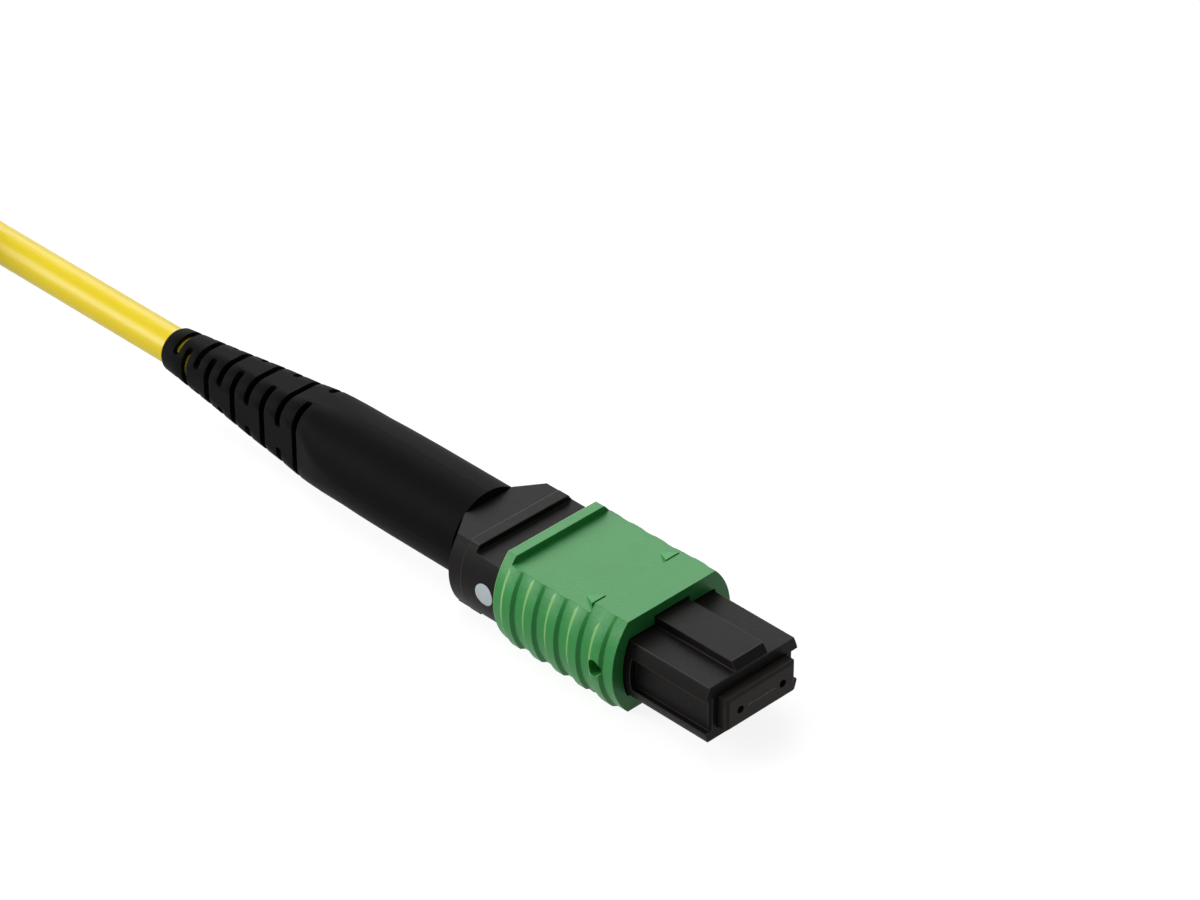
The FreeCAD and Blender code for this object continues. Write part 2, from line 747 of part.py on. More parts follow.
def ribbed_side(name, sign):
    """One bowed side of the sleeve as a turned body: a round of ribs about the arc's own axis."""
    body = doc.addObject("PartDesign::Body", name)
    bind(body, "Placement.Base.y", (sleeve_reach - size("sleeve_side_radius")) * sign)
    bind(body, "Placement.Base.z", size("sleeve_centre_height"))
    floor = size("sleeve_side_radius")
    land = floor + size("rib_height")
    profile = sketch_on(body, f"{name}_profile", "XY_Plane", 0)
    corners = [(-size("sleeve_rear"), 0), (-size("sleeve_front"), 0), (-size("sleeve_front"), floor)]
    for number in reversed(range(RIB_COUNT)):
        middle = size("rib_first") - size("rib_pitch") * number
        edge = -middle + size("rib_land") / 2
        corners += [(edge + size("rib_fall"), floor), (edge, land)]
        edge = -middle - size("rib_land") / 2
        corners += [(edge, land), (edge - size("rib_rise"), floor)]
    corners.append((-size("sleeve_rear"), floor))
    outline(profile, corners)
    turned = body.newObject("PartDesign::Revolution", f"{name}_turned")
    turned.Profile = profile
    turned.ReferenceAxis = (profile, ["H_Axis"])
    turned.Angle = 360
    doc.recompute()
    return body


def make_sleeve():
    """The ribbed sliding sleeve: recessed panels, arrowheads, stepped bore, stop tabs and core holes."""
    front, rear = -size("sleeve_front"), -size("sleeve_rear")
    top, bottom = size("sleeve_top"), -size("sleeve_bottom")
    reach, radius = sleeve_reach, size("sleeve_side_radius")
    sides = [ribbed_side("sleeve_side_left", -1), ribbed_side("sleeve_side_right", 1)]
    inner = reach - radius
    middle = block("sleeve_middle", (rear, -inner, bottom), (front, inner, top))
    lump = fuse("sleeve_lump", middle, *sides)
    bounds = block("sleeve_bounds", (rear, -reach - 1, bottom), (front, reach + 1, top))
    blank = common("sleeve_blank", lump, bounds)
    panel_front = front - size("front_band")
    panel_rear = rear + size("rear_lip")
    panels = [
        block("panel_top", (panel_rear, -reach - 1, top - size("panel_depth")), (panel_front, reach + 1, top + 1)),
        block("panel_bottom", (panel_rear, -reach - 1, bottom - 1), (panel_front, reach + 1, bottom + size("panel_depth"))),
    ]
    arrows = doc.addObject("PartDesign::Body", "sleeve_arrows")
    marks = sketch_on(arrows, "arrow_outlines", "XY_Plane", top - size("panel_depth") - 0.2)
    base = panel_front - size("arrow_gap")
    for sign in (-1, 1):
        middle_line = size("arrow_middle") * sign
        half = size("arrow_width") / 2
        outline(marks, [(base - size("arrow_length"), middle_line), (base, middle_line - half),
                        (base, middle_line + half)])
    pad(arrows, "arrowheads", marks, size("arrow_height") + 0.2, backwards=False)
    outside = fuse("sleeve_outside", cut("sleeve_relief", blank, *panels), arrows)

    bore = doc.addObject("PartDesign::Body", "sleeve_bore")
    play = size("bore_play")
    corners, bows = bowed_section(size("body_reach") + play, size("body_side_radius") + play,
                                  size("body_centre_height"),
                                  -size("neck_bottom") - size("mouth_head_room"),
                                  size("neck_top") + size("mouth_head_room"))
    slab(bore, "wide_bore", corners, size("mouth_end"), size("sleeve_rear") + 1, bows)
    play = size("mouth_play")
    corners, bows = bowed_section(plug_reach + play, size("plug_side_radius") + play,
                                  size("plug_centre_height"),
                                  -size("plug_bottom") - size("mouth_head_room"),
                                  size("plug_top") + size("mouth_head_room"))
    slab(bore, "mouth", corners, size("sleeve_front") - 1, size("mouth_end"), bows)
    key_room = size("plug_top") + size("key_height") + size("mouth_head_room")
    key_half = size("key_width") / 2 + size("mouth_head_room")
    slot_end = size("key_end") + size("sleeve_travel") + size("mouth_head_room")
    slab(bore, "key_slot", rectangle(key_half, 0, key_room), size("sleeve_front") - 1, slot_end)

    tab_low = channel_floor + size("tab_play")
    tab_front = -size("tab_front")
    half = size("tab_height") / 2
    tab_high = reach - size("coil_play") * 3
    tabs = [
        block("tab_left", (-size("mouth_end"), -tab_high, -half), (tab_front, -tab_low, half)),
        block("tab_right", (-size("mouth_end"), tab_low, -half), (tab_front, tab_high, half)),
    ]
    hollow = fuse("sleeve_hollow", cut("sleeve_shell", outside, bore), *tabs)
    holes = [
        primitive("Part::Cylinder", f"core_hole_{side}",
                  (-size("core_hole_place"), place, size("core_hole_height")), ALONG_Y,
                  Radius=size("core_hole_diameter") / 2, Height=reach + 1 - size("core_hole_floor"))
        for side, place in (("left", -reach - 1), ("right", size("core_hole_floor")))
    ]
    return finish(cut("coupling_sleeve", hollow, *holes), "coupling_sleeve")


def make_sleeve_spring(side, sign):
    """A small coil spring in the housing's side channel, behind the sleeve's tab."""
    wire, play = sheet.coil_wire, sheet.coil_play
    front = sheet.mouth_end + wire / 2 + play
    rear = sheet.channel_rear - wire / 2 - play
    across = float(channel_floor) + sheet.coil_radius + wire / 2 + play
    turns = [2 * math.pi * number / COIL_SIDES for number in range(COIL_SIDES)]
    turn = [FreeCAD.Vector(math.cos(angle), math.sin(angle), 0) * sheet.coil_radius for angle in turns]
    spring = doc.addObject("Part::Feature", f"sleeve_spring_{side}")
    spring.Shape = coil_shape(turn, int(sheet.coil_turns), rear - front, wire)
    spring.Placement = FreeCAD.Placement(FreeCAD.Vector(-front, across * sign, 0), UP_TO_REAR)
    return finish(spring, f"sleeve_spring_{side}")


# ---------------------------------------------------------------- crimp, boot and cable end

def turned_body(name, corners):
    """A body turned about the X axis from a profile of (X, radius) corners."""
    body = doc.addObject("PartDesign::Body", name)
    profile = outline(sketch_on(body, f"{name}_profile", "XY_Plane", 0), corners)
    turned = body.newObject("PartDesign::Revolution", f"{name}_turned")
    turned.Profile = profile
    turned.ReferenceAxis = (profile, ["H_Axis"])
    turned.Angle = 360
    doc.recompute()
    return body


aramid_radius = size("barrel_diameter") / 2 + size("aramid_thickness")
cable_radius = size("cable_diameter") / 2


def make_aramid():
    """The strength yarns, folded back over the barrel."""
    front = -size("crimp_front") - size("coil_play")
    rear = -size("barrel_end")
    outer = rod("yarn_outer", rear, front, aramid_radius)
    inner = rod("yarn_inner", rear - 1, front + 1, size("barrel_diameter") / 2)
    return finish(cut("aramid_yarn", outer, inner), "aramid_yarn")


def make_crimp():
    """The stepped metal sleeve, crimped over the yarns and the cable's jacket."""
    wall = size("crimp_wall")
    waist = cable_radius
    corners = [
        (-size("crimp_rear"), waist),
        (-size("crimp_waist"), waist),
        (-size("crimp_step"), aramid_radius),
        (-size("crimp_front"), aramid_radius),
        (-size("crimp_front"), aramid_radius + wall),
        (-size("crimp_step"), aramid_radius + wall),
        (-size("crimp_waist"), waist + wall),
        (-size("crimp_rear"), waist + wall),
    ]
    return finish(turned_body("crimp_sleeve", corners), "crimp_sleeve")


def slot_cutter(name, place, middle_turn):
    """A ring sector across the boot's wall, centred on a turn about the X axis."""
    half_span = 90 - sheet.slot_web / 2
    half_width = size("slot_width") / 2
    body = doc.addObject("PartDesign::Body", name)
    profile = sketch_on(body, f"{name}_profile", "XZ_Plane", 0)
    low = cable_radius + size("cable_play") / 2
    high = size("boot_radius") + 1
    outline(profile, [(-place - half_width, low), (-place + half_width, low),
                      (-place + half_width, high), (-place - half_width, high)])
    sector = body.newObject("PartDesign::Revolution", f"{name}_sector")
    sector.Profile = profile
    sector.ReferenceAxis = (profile, ["H_Axis"])
    sector.Midplane = True
    bind(sector, "Angle", 180 - size("slot_web"))
    doc.recompute()
    body.Placement = FreeCAD.Placement(FreeCAD.Vector(), FreeCAD.Rotation(FreeCAD.Vector(1, 0, 0), middle_turn))
    return body


def make_boot():
    """The rubber strain relief: plain grip, tapered tail, and slots that alternate round the tail."""
    edge = size("boot_edge")
    bore = cable_radius + size("cable_play")
    mouth = aramid_radius + size("crimp_wall") + size("boot_play")
    corners = [
        (-size("boot_rear"), bore),
        (-size("boot_bore_end"), bore),
        (-size("boot_bore_end"), mouth),
        (-size("boot_front"), mouth),
        (-size("boot_front"), size("boot_radius") - edge),
        (-size("boot_front") - edge, size("boot_radius")),
        (-size("boot_grip_end"), size("boot_radius")),
        (-size("boot_neck_start"), size("boot_shoulder_radius")),
        (-size("boot_shoulder"), size("boot_shoulder_radius")),
        (-size("boot_taper_start"), size("boot_taper_radius")),
        (-size("boot_rear") + edge, size("boot_tail_radius")),
        (-size("boot_rear"), size("boot_tail_radius") - edge / 2),
    ]
    blank = turned_body("boot_blank", corners)
    cutters = []
    gaps = SLOT_ROWS - 1
    place = size("boot_shoulder") + size("slot_lead")
    mean = (size("boot_rear") - size("slot_tail") - place) / gaps
    for number in range(SLOT_ROWS):
        turn = 90 if number % 2 == 0 else 90 - sheet.slot_web_turn
        for half in (0, 180):
            cutters.append(slot_cutter(f"slot_{number + 1:02d}_{half}", place, turn + half))
        place = place + mean * (1 + size("slot_spread") * ((gaps - 1) / 2 - number))
    return finish(cut("strain_relief_boot", blank, *cutters), "strain_relief_boot")


def make_cable_end():
    """The hollow stretch of jacket inside the crimp sleeve and the boot."""
    inner, outer = -size("cable_inner_end"), -size("cable_outer_end")
    jacket = rod("jacket_outer", outer, inner, cable_radius)
    core = rod("jacket_core", outer + size("jacket_web"), inner + 1, size("cable_bore") / 2)
    return finish(cut("cable_end", jacket, core), "cable_end")


# ---------------------------------------------------------------- free cable

# The cable leaves the boot straight, then comes down and aside to the first row of the hank.
ROUTE = [
    FreeCAD.Vector(-66.0, 0, 0),
    FreeCAD.Vector(-95.5, 0, 0),
    FreeCAD.Vector(-106.0, 3.0, -1.95),
    FreeCAD.Vector(-115.2, 3.0, -1.95),
]


def make_cable_run():
    """The cable from the boot to the hank: straight runs joined by tangent arcs."""
    points = list(ROUTE)
    edges = []
    radii = []
    here = points[0]
    for before, corner, after in zip(points, points[1:], points[2:]):
        back, ahead = before - corner, after - corner
        half_turn = (math.pi - back.getAngle(ahead)) / 2
        radius = 0.45 * min(back.Length, ahead.Length) / math.tan(half_turn)
        reach = radius * math.tan(half_turn)
        back.normalize()
        ahead.normalize()
        enter, leave = corner + back * reach, corner + ahead * reach
        inward = (back + ahead).normalize()
        sag = radius / math.cos(half_turn) - radius
        edges.append(Part.LineSegment(here, enter).toShape())
        edges.append(Part.Arc(enter, corner + inward * sag, leave).toShape())
        radii.append(round(radius, 1))
        here = leave
    edges.append(Part.LineSegment(here, points[-1]).toShape())
    path = Part.Wire(edges)
    circle = Part.Circle(points[0], FreeCAD.Vector(1, 0, 0), sheet.cable_diameter / 2)
    tube = path.makePipeShell([Part.Wire([circle.toShape()])], True, False)
    expected = path.Length * math.pi * sheet.cable_diameter ** 2 / 4
    print("cable arc radii in mm:", radii)
    print(f"cable tube volume {tube.Volume:.2f}, section times length {expected:.2f}")
    run = doc.addObject("Part::Feature", "cable_run")
    run.Shape = tube
    return finish(run, "cable_run")


hank_inner = size("hank_fold_radius") - cable_radius
hank_outer = hank_inner + size("cable_diameter") * 2
hank_near = -size("hank_front") - hank_outer
hank_far = hank_near - size("hank_run")
hank_middle = -size("hank_aside")
hank_low = -size("sleeve_bottom") + size("tie_thickness")
hank_height = size("cable_diameter") * size("hank_rows")
hank_crest = (hank_inner + hank_outer) / 2


def racetrack(sketch, half_width):
    """A closed outline of two straights and two half circles round the hank's two fold centres."""
    low, high = hank_middle - half_width, hank_middle + half_width
    corners = [(hank_far, low), (hank_near, low), (hank_near, high), (hank_far, high)]
    first = sketch.GeometryCount
    spots = [FreeCAD.Vector(float(u), float(v), 0) for u, v in corners]
    radius = float(half_width)
    up = FreeCAD.Vector(0, 0, 1)
    near = Part.Circle(FreeCAD.Vector(float(hank_near), float(hank_middle), 0), up, radius)
    far = Part.Circle(FreeCAD.Vector(float(hank_far), float(hank_middle), 0), up, radius)
    sketch.addGeometry(Part.LineSegment(spots[0], spots[1]), False)
    sketch.addGeometry(Part.ArcOfCircle(near, -math.pi / 2, math.pi / 2), False)
    sketch.addGeometry(Part.LineSegment(spots[2], spots[3]), False)
    sketch.addGeometry(Part.ArcOfCircle(far, math.pi / 2, 3 * math.pi / 2), False)
    for number in range(4):
        after = first + (number + 1) % 4
        sketch.addConstraint(Sketcher.Constraint("Coincident", first + number, 2, after, 1))
        pin_point(sketch, first + number, corners[number])
    for number, centre in ((1, hank_near), (3, hank_far)):
        kind = Sketcher.Constraint("DistanceX", -1, 1, first + number, 3, float(centre))
        bind(sketch, f"Constraints[{sketch.addConstraint(kind)}]", centre)


def make_hank():
    """The outer shape of the put-away cable: rows of turns side by side, and a last turn on top."""
    body = doc.addObject("PartDesign::Body", "cable_hank")
    ring = sketch_on(body, "hank_outline", "XY_Plane", hank_low)
    racetrack(ring, hank_outer)
    racetrack(ring, hank_inner)
    pad(body, "hank_rows", ring, hank_height, backwards=False)
    crown = sketch_on(body, "hank_crown_outline", "XY_Plane", hank_low)
    racetrack(crown, hank_crest + cable_radius)
    racetrack(crown, hank_crest - cable_radius)
    pad(body, "hank_crown", crown, hank_height + size("hank_crown"), backwards=False)
    return finish(body, "cable_hank")


def make_tie(side, sign):
    """A flat tie round the turns of one straight of the hank."""
    body = doc.addObject("PartDesign::Body", f"hank_tie_{side}")
    half = size("tie_width") / 2
    band = sketch_on(body, f"tie_{side}_outline", "YZ_Plane", (hank_near + hank_far) / 2 + half)
    middle = hank_middle + hank_crest * sign
    for grow in (size("tie_thickness"), 0):
        wide = size("cable_diameter") + grow
        narrow = cable_radius + as_size(grow) * 0.6
        low = hank_low - grow
        shoulder = hank_low + hank_height + as_size(grow) * 0.3
        high = hank_low + hank_height + size("hank_crown") + grow
        outline(band, [
            (middle - wide, low), (middle + wide, low), (middle + wide, shoulder),
            (middle + narrow, high), (middle - narrow, high), (middle - wide, shoulder),
        ])
    pad(body, f"tie_{side}_band", band, size("tie_width"))
    return finish(body, f"hank_tie_{side}")


# ---------------------------------------------------------------- build, check and export

make_ferrule()
make_keeper()
make_ferrule_boot()
for fibre_number, fibre_colour in enumerate(FIBRE_COLOURS):
    make_fibre(fibre_number, fibre_colour)
make_main_spring()
make_housing()
make_dot()
make_push()
make_sleeve()
make_sleeve_spring("left", -1)
make_sleeve_spring("right", 1)
make_aramid()
make_crimp()
make_boot()
make_cable_end()
make_cable_run()
make_hank()
make_tie("left", -1)
make_tie("right", 1)
doc.recompute()

failed = [o.Name for o in doc.Objects if {"Invalid", "Error"} & set(o.State)]
if failed:
    raise ValueError(f"failed objects: {failed}")
for thing in parts:
    if thing.Shape.isNull() or not thing.Shape.isValid() or not thing.Shape.Solids:
        raise ValueError(f"{thing.Label} has no valid solid")

os.makedirs("parts", exist_ok=True)
for thing in parts:
    thing.Shape.exportStep(f"parts/{thing.Label}.step")
    print(f"{thing.Label:22s} solids {len(thing.Shape.Solids)} volume {thing.Shape.Volume:9.3f} mm3")
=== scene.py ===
"""A push-on fibre connector on its pigtail: finishes, cord, stage and camera."""

from __future__ import annotations

import json
import logging
import math
from collections.abc import Callable
from dataclasses import dataclass, field
from enum import Enum

import bpy
from mathutils import Matrix, Vector

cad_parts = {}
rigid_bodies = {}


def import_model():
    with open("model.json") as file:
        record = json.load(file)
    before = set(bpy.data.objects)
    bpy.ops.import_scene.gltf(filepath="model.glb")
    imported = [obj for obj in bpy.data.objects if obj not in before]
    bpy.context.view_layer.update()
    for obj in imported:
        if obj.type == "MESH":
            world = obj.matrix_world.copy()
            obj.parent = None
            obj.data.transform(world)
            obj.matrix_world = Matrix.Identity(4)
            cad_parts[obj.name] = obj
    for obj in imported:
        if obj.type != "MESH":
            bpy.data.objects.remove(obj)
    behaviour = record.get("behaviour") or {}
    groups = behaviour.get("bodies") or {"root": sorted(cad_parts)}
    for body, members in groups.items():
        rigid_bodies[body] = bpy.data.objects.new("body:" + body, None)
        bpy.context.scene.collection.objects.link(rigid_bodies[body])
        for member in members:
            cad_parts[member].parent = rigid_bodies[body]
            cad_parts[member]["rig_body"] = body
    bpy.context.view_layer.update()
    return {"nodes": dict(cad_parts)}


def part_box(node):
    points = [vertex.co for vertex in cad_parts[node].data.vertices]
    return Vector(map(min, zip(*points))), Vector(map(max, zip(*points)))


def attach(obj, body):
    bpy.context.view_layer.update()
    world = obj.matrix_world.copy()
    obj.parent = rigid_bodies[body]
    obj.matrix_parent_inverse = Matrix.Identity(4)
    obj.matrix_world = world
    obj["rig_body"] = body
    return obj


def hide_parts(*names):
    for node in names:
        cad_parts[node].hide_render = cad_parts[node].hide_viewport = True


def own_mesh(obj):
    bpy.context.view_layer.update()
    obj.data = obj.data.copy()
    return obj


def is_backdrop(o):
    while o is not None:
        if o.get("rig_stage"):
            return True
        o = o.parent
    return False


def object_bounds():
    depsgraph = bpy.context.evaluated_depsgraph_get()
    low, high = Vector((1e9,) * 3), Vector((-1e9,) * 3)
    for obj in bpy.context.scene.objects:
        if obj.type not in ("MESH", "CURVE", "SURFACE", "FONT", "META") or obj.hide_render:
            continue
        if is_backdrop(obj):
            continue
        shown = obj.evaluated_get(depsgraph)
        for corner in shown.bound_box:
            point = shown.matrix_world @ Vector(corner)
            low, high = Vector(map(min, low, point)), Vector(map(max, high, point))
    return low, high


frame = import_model()
MM = 0.001
MERGE = 0.001 * MM
CLOSE = 0.02 * MM
WHITE = (1.0, 1.0, 1.0, 1.0)
log = logging.getLogger("connector")


# ---- shared shader groups


class Effect(Enum):
    """The shader groups that more than one finish uses."""

    GRAIN = "moulded_grain"
    MOTTLE = "tone_mottle"


class ShaderGroups:
    """Builds each shared shader group once and hands it out by its name."""

    def __init__(self) -> None:
        """Starts with no group built."""
        self._made: dict[Effect, bpy.types.NodeTree] = {}

    def get(self, effect: Effect) -> bpy.types.NodeTree:
        """Returns the group for an effect, built on its first use.

        Args:
            effect: Which group is wanted.

        Returns:
            The node tree of the group.
        """
        if effect not in self._made:
            makers = {Effect.GRAIN: self._grain, Effect.MOTTLE: self._mottle}
            self._made[effect] = makers[effect]()
        return self._made[effect]

    @staticmethod
    def _start(
        effect: Effect, inputs: dict[str, tuple[str, object]], output: tuple[str, str]
    ) -> bpy.types.NodeTree:
        """Makes an empty group with its sockets.

        Args:
            effect: The effect that names the group.
            inputs: Socket name to its kind and default value.
            output: The name and kind of the one output.

        Returns:
            The new node tree.
        """
        tree = bpy.data.node_groups.new(effect.value, "ShaderNodeTree")
        for name, (kind, value) in inputs.items():
            socket = tree.interface.new_socket(name=name, in_out="INPUT", socket_type=kind)
            socket.default_value = value
        tree.interface.new_socket(name=output[0], in_out="OUTPUT", socket_type=output[1])
        tree.nodes.new("NodeGroupInput").name = "In"
        tree.nodes.new("NodeGroupOutput").name = "Out"
        return tree

    def _grain(self) -> bpy.types.NodeTree:
        """Makes the fine spark-eroded grain of a moulding as a height.

        Returns:
            The node tree of the group.
        """
        inputs = {"Scale": ("NodeSocketFloat", 9000.0), "Coarse": ("NodeSocketFloat", 0.3)}
        tree = self._start(Effect.GRAIN, inputs, ("Height", "NodeSocketFloat"))
        place = tree.nodes.new("ShaderNodeTexCoord")
        fine = tree.nodes.new("ShaderNodeTexNoise")
        fine.inputs["Detail"].default_value = 3.0
        coarse = tree.nodes.new("ShaderNodeTexVoronoi")
        wider = tree.nodes.new("ShaderNodeMath")
        wider.operation = "MULTIPLY"
        wider.inputs[1].default_value = 0.45
        mix = tree.nodes.new("ShaderNodeMix")
        links, given = tree.links, tree.nodes["In"].outputs
        links.new(given["Scale"], fine.inputs["Scale"])
        links.new(given["Scale"], wider.inputs[0])
        links.new(wider.outputs[0], coarse.inputs["Scale"])
        links.new(place.outputs["Object"], fine.inputs["Vector"])
        links.new(place.outputs["Object"], coarse.inputs["Vector"])
        links.new(given["Coarse"], mix.inputs[0])
        links.new(fine.outputs[0], mix.inputs[2])
        links.new(coarse.outputs["Distance"], mix.inputs[3])
        links.new(mix.outputs[0], tree.nodes["Out"].inputs["Height"])
        return tree

    def _mottle(self) -> bpy.types.NodeTree:
        """Makes a colour that wanders softly between two tones.

        Returns:
            The node tree of the group.
        """
        inputs = {
            "Tone": ("NodeSocketColor", (0.5, 0.5, 0.5, 1.0)),
            "Other Tone": ("NodeSocketColor", (0.4, 0.4, 0.4, 1.0)),
            "Scale": ("NodeSocketFloat", 300.0),
            "Amount": ("NodeSocketFloat", 0.5),
        }
        tree = self._start(Effect.MOTTLE, inputs, ("Color", "NodeSocketColor"))
        place = tree.nodes.new("ShaderNodeTexCoord")
        noise = tree.nodes.new("ShaderNodeTexNoise")
        noise.inputs["Detail"].default_value = 4.0
        spread = tree.nodes.new("ShaderNodeMapRange")
        spread.inputs["From Min"].default_value = 0.35
        spread.inputs["From Max"].default_value = 0.65
        scaled = tree.nodes.new("ShaderNodeMath")
        scaled.operation = "MULTIPLY"
        mix = tree.nodes.new("ShaderNodeMix")
        mix.data_type = "RGBA"
        links, given = tree.links, tree.nodes["In"].outputs
        links.new(place.outputs["Object"], noise.inputs["Vector"])
        links.new(given["Scale"], noise.inputs["Scale"])
        links.new(noise.outputs[0], spread.inputs["Value"])
        links.new(spread.outputs[0], scaled.inputs[0])
        links.new(given["Amount"], scaled.inputs[1])
        links.new(scaled.outputs[0], mix.inputs[0])
        links.new(given["Tone"], mix.inputs[6])
        links.new(given["Other Tone"], mix.inputs[7])
        links.new(mix.outputs[2], tree.nodes["Out"].inputs["Color"])
        return tree


GROUPS = ShaderGroups()
Tone = tuple[float, float, float]


def tone(red: int, green: int, blue: int) -> Tone:
    """Turns a display colour of three bytes into a linear colour.

    Args:
        red: The red byte.
        green: The green byte.
        blue: The blue byte.

    Returns:
        The linear colour.
    """
    shares = (value / 255 for value in (red, green, blue))
    return tuple(s / 12.92 if s <= 0.04045 else ((s + 0.055) / 1.055) ** 2.4 for s in shares)


@dataclass(frozen=True)
class Finish:
    """A moulded, coated or drawn surface: two tones, their wander, a grain and a gloss.

    Attributes:
        name: The material's name.
        tone: The main colour, linear.
        other: The colour that it wanders towards.
        wander: How much of the other colour shows.
        patch: How many patches lie along a metre.
        rough: The lowest roughness.
        rough_spread: How much the grain adds to the roughness.
        grain: How many grains lie along a metre.
        coarse: The share of the cell-like grain.
        depth: The grain's depth in metres.
        metal: The metallic value.
        specular: The specular level of the base layer.
        coat: The weight of the clear coat.
        coat_rough: The roughness of the clear coat.
        sheen: The weight of the sheen.
        sheen_rough: The roughness of the sheen.
    """

    name: str
    tone: Tone
    other: Tone
    wander: float = 0.5
    patch: float = 400.0
    rough: float = 0.45
    rough_spread: float = 0.12
    grain: float = 9000.0
    coarse: float = 0.3
    depth: float = 4e-6
    metal: float = 0.0
    specular: float = 0.5
    coat: float = 0.0
    coat_rough: float = 0.1
    sheen: float = 0.0
    sheen_rough: float = 0.4

    def material(self) -> bpy.types.Material:
        """Returns the finish's material, made on its first use."""
        return bpy.data.materials.get(f"{self.name}_finish") or self._build()

    def _build(self) -> bpy.types.Material:
        """Builds the material's nodes.

        Returns:
            The new material.
        """
        made = bpy.data.materials.new(f"{self.name}_finish")
        made.use_nodes = True
        made.diffuse_color = (*self.tone, 1.0)
        nodes, links = made.node_tree.nodes, made.node_tree.links
        shader = nodes["Principled BSDF"]
        for socket, value in {
            "Metallic": self.metal, "Specular IOR Level": self.specular, "Coat Weight": self.coat,
            "Coat Roughness": self.coat_rough, "Sheen Weight": self.sheen,
            "Sheen Roughness": self.sheen_rough,
        }.items():
            shader.inputs[socket].default_value = value
        colour = self._group(nodes, Effect.MOTTLE, {
            "Tone": (*self.tone, 1.0), "Other Tone": (*self.other, 1.0),
            "Scale": self.patch, "Amount": self.wander,
        })
        links.new(colour.outputs["Color"], shader.inputs["Base Color"])
        grain = self._group(nodes, Effect.GRAIN, {"Scale": self.grain, "Coarse": self.coarse})
        gloss = nodes.new("ShaderNodeMapRange")
        gloss.inputs["To Min"].default_value = self.rough
        gloss.inputs["To Max"].default_value = self.rough + self.rough_spread
        links.new(grain.outputs["Height"], gloss.inputs["Value"])
        links.new(gloss.outputs[0], shader.inputs["Roughness"])
        bump = nodes.new("ShaderNodeBump")
        bump.inputs["Distance"].default_value = self.depth
        links.new(grain.outputs["Height"], bump.inputs["Height"])
        links.new(bump.outputs["Normal"], shader.inputs["Normal"])
        return made

    @staticmethod
    def _group(
        nodes: bpy.types.Nodes, effect: Effect, values: dict[str, object]
    ) -> bpy.types.ShaderNodeGroup:
        """Places a shared group with this finish's own values.

        Args:
            nodes: The material's nodes.
            effect: Which group is placed.
            values: The value of each input.

        Returns:
            The group node.
        """
        node = nodes.new("ShaderNodeGroup")
        node.node_tree = GROUPS.get(effect)
        for name, value in values.items():
            node.inputs[name].default_value = value
        return node


@dataclass(frozen=True)
class FibreFinish(Finish):
    """A coated fibre whose coat is stripped towards its end.

    Attributes:
        bare: The colour of the bare glass, linear.
        strip: Where along X the coat ends, in metres.
    """

    bare: Tone = tone(128, 126, 120)
    strip: float = -3.0 * MM

    def _build(self) -> bpy.types.Material:
        """Builds the coated material and lets the bare glass show in front of the coat.

        Returns:
            The new material.
        """
        made = super()._build()
        nodes, links = made.node_tree.nodes, made.node_tree.links
        shader = nodes["Principled BSDF"]
        coat = shader.inputs["Base Color"].links[0].from_socket
        place = nodes.new("ShaderNodeTexCoord")
        axes = nodes.new("ShaderNodeSeparateXYZ")
        ahead = nodes.new("ShaderNodeMath")
        ahead.operation = "GREATER_THAN"
        ahead.inputs[1].default_value = self.strip
        choose = nodes.new("ShaderNodeMix")
        choose.data_type = "RGBA"
        choose.inputs[7].default_value = (*self.bare, 1.0)
        links.new(place.outputs["Object"], axes.inputs[0])
        links.new(axes.outputs["X"], ahead.inputs[0])
        links.new(ahead.outputs[0], choose.inputs[0])
        links.new(coat, choose.inputs[6])
        links.new(choose.outputs[2], shader.inputs["Base Color"])
        return made


BLACK_PLASTIC = Finish(
    "black_plastic", tone(26, 24, 23), tone(21, 19, 19),
    patch=500, rough=0.42, grain=6000, depth=1.5e-5, specular=0.07,
)
# Painted highlight: a lighter black on the rounded edges of the black mouldings and the ferrule,
# for the light that they catch.
BLACK_PAINTED_HIGHLIGHT = Finish(
    "black_plastic_painted_highlight", tone(38, 36, 35), tone(30, 28, 28),
    patch=900, rough=0.34, grain=14000, depth=3e-6, specular=0.15,
)
GREEN_PLASTIC = Finish(
    "green_plastic", tone(56, 154, 76), tone(50, 146, 70),
    patch=350, rough=0.38, grain=5000, depth=2.2e-5, specular=0.28,
)
# Painted highlight: a pale green on the sleeve's rear-facing faces, for the light that falls on
# them from behind.
GREEN_PAINTED_HIGHLIGHT = Finish(
    "green_plastic_painted_highlight", tone(136, 190, 104), tone(108, 178, 92),
    patch=900, rough=0.34, grain=12000, depth=3e-6, specular=0.4,
)
BOOT_RUBBER = Finish(
    "boot_rubber", tone(14, 14, 15), tone(11, 11, 12),
    patch=300, rough=0.50, depth=5e-6, specular=0.03,
)
# Painted highlight: a lighter black on the boot's rounded edges, for the light that they catch.
BOOT_PAINTED_HIGHLIGHT = Finish(
    "boot_rubber_painted_highlight", tone(18, 18, 20), tone(14, 14, 16),
    patch=900, rough=0.36, grain=12000, depth=3e-6, specular=0.06,
)
FERRULE_RESIN = Finish(
    "ferrule_resin", tone(57, 53, 50), tone(49, 46, 44),
    patch=1500, rough=0.42, grain=20000, depth=3e-6, specular=0.1,
)
JACKET = Finish(
    "yellow_jacket", tone(255, 228, 20), tone(252, 222, 14),
    patch=150, rough=0.34, grain=7000, depth=3e-6, specular=0.3, coat=0.1, coat_rough=0.25,
)
DOT_PAINT = Finish(
    "dot_paint", tone(212, 222, 227), tone(200, 212, 218),
    patch=2500, rough=0.5, grain=16000,
)
SPRING_STEEL = Finish(
    "spring_steel", tone(190, 190, 188), tone(165, 165, 166),
    patch=1500, rough=0.22, grain=20000, depth=1e-6, metal=1.0,
)
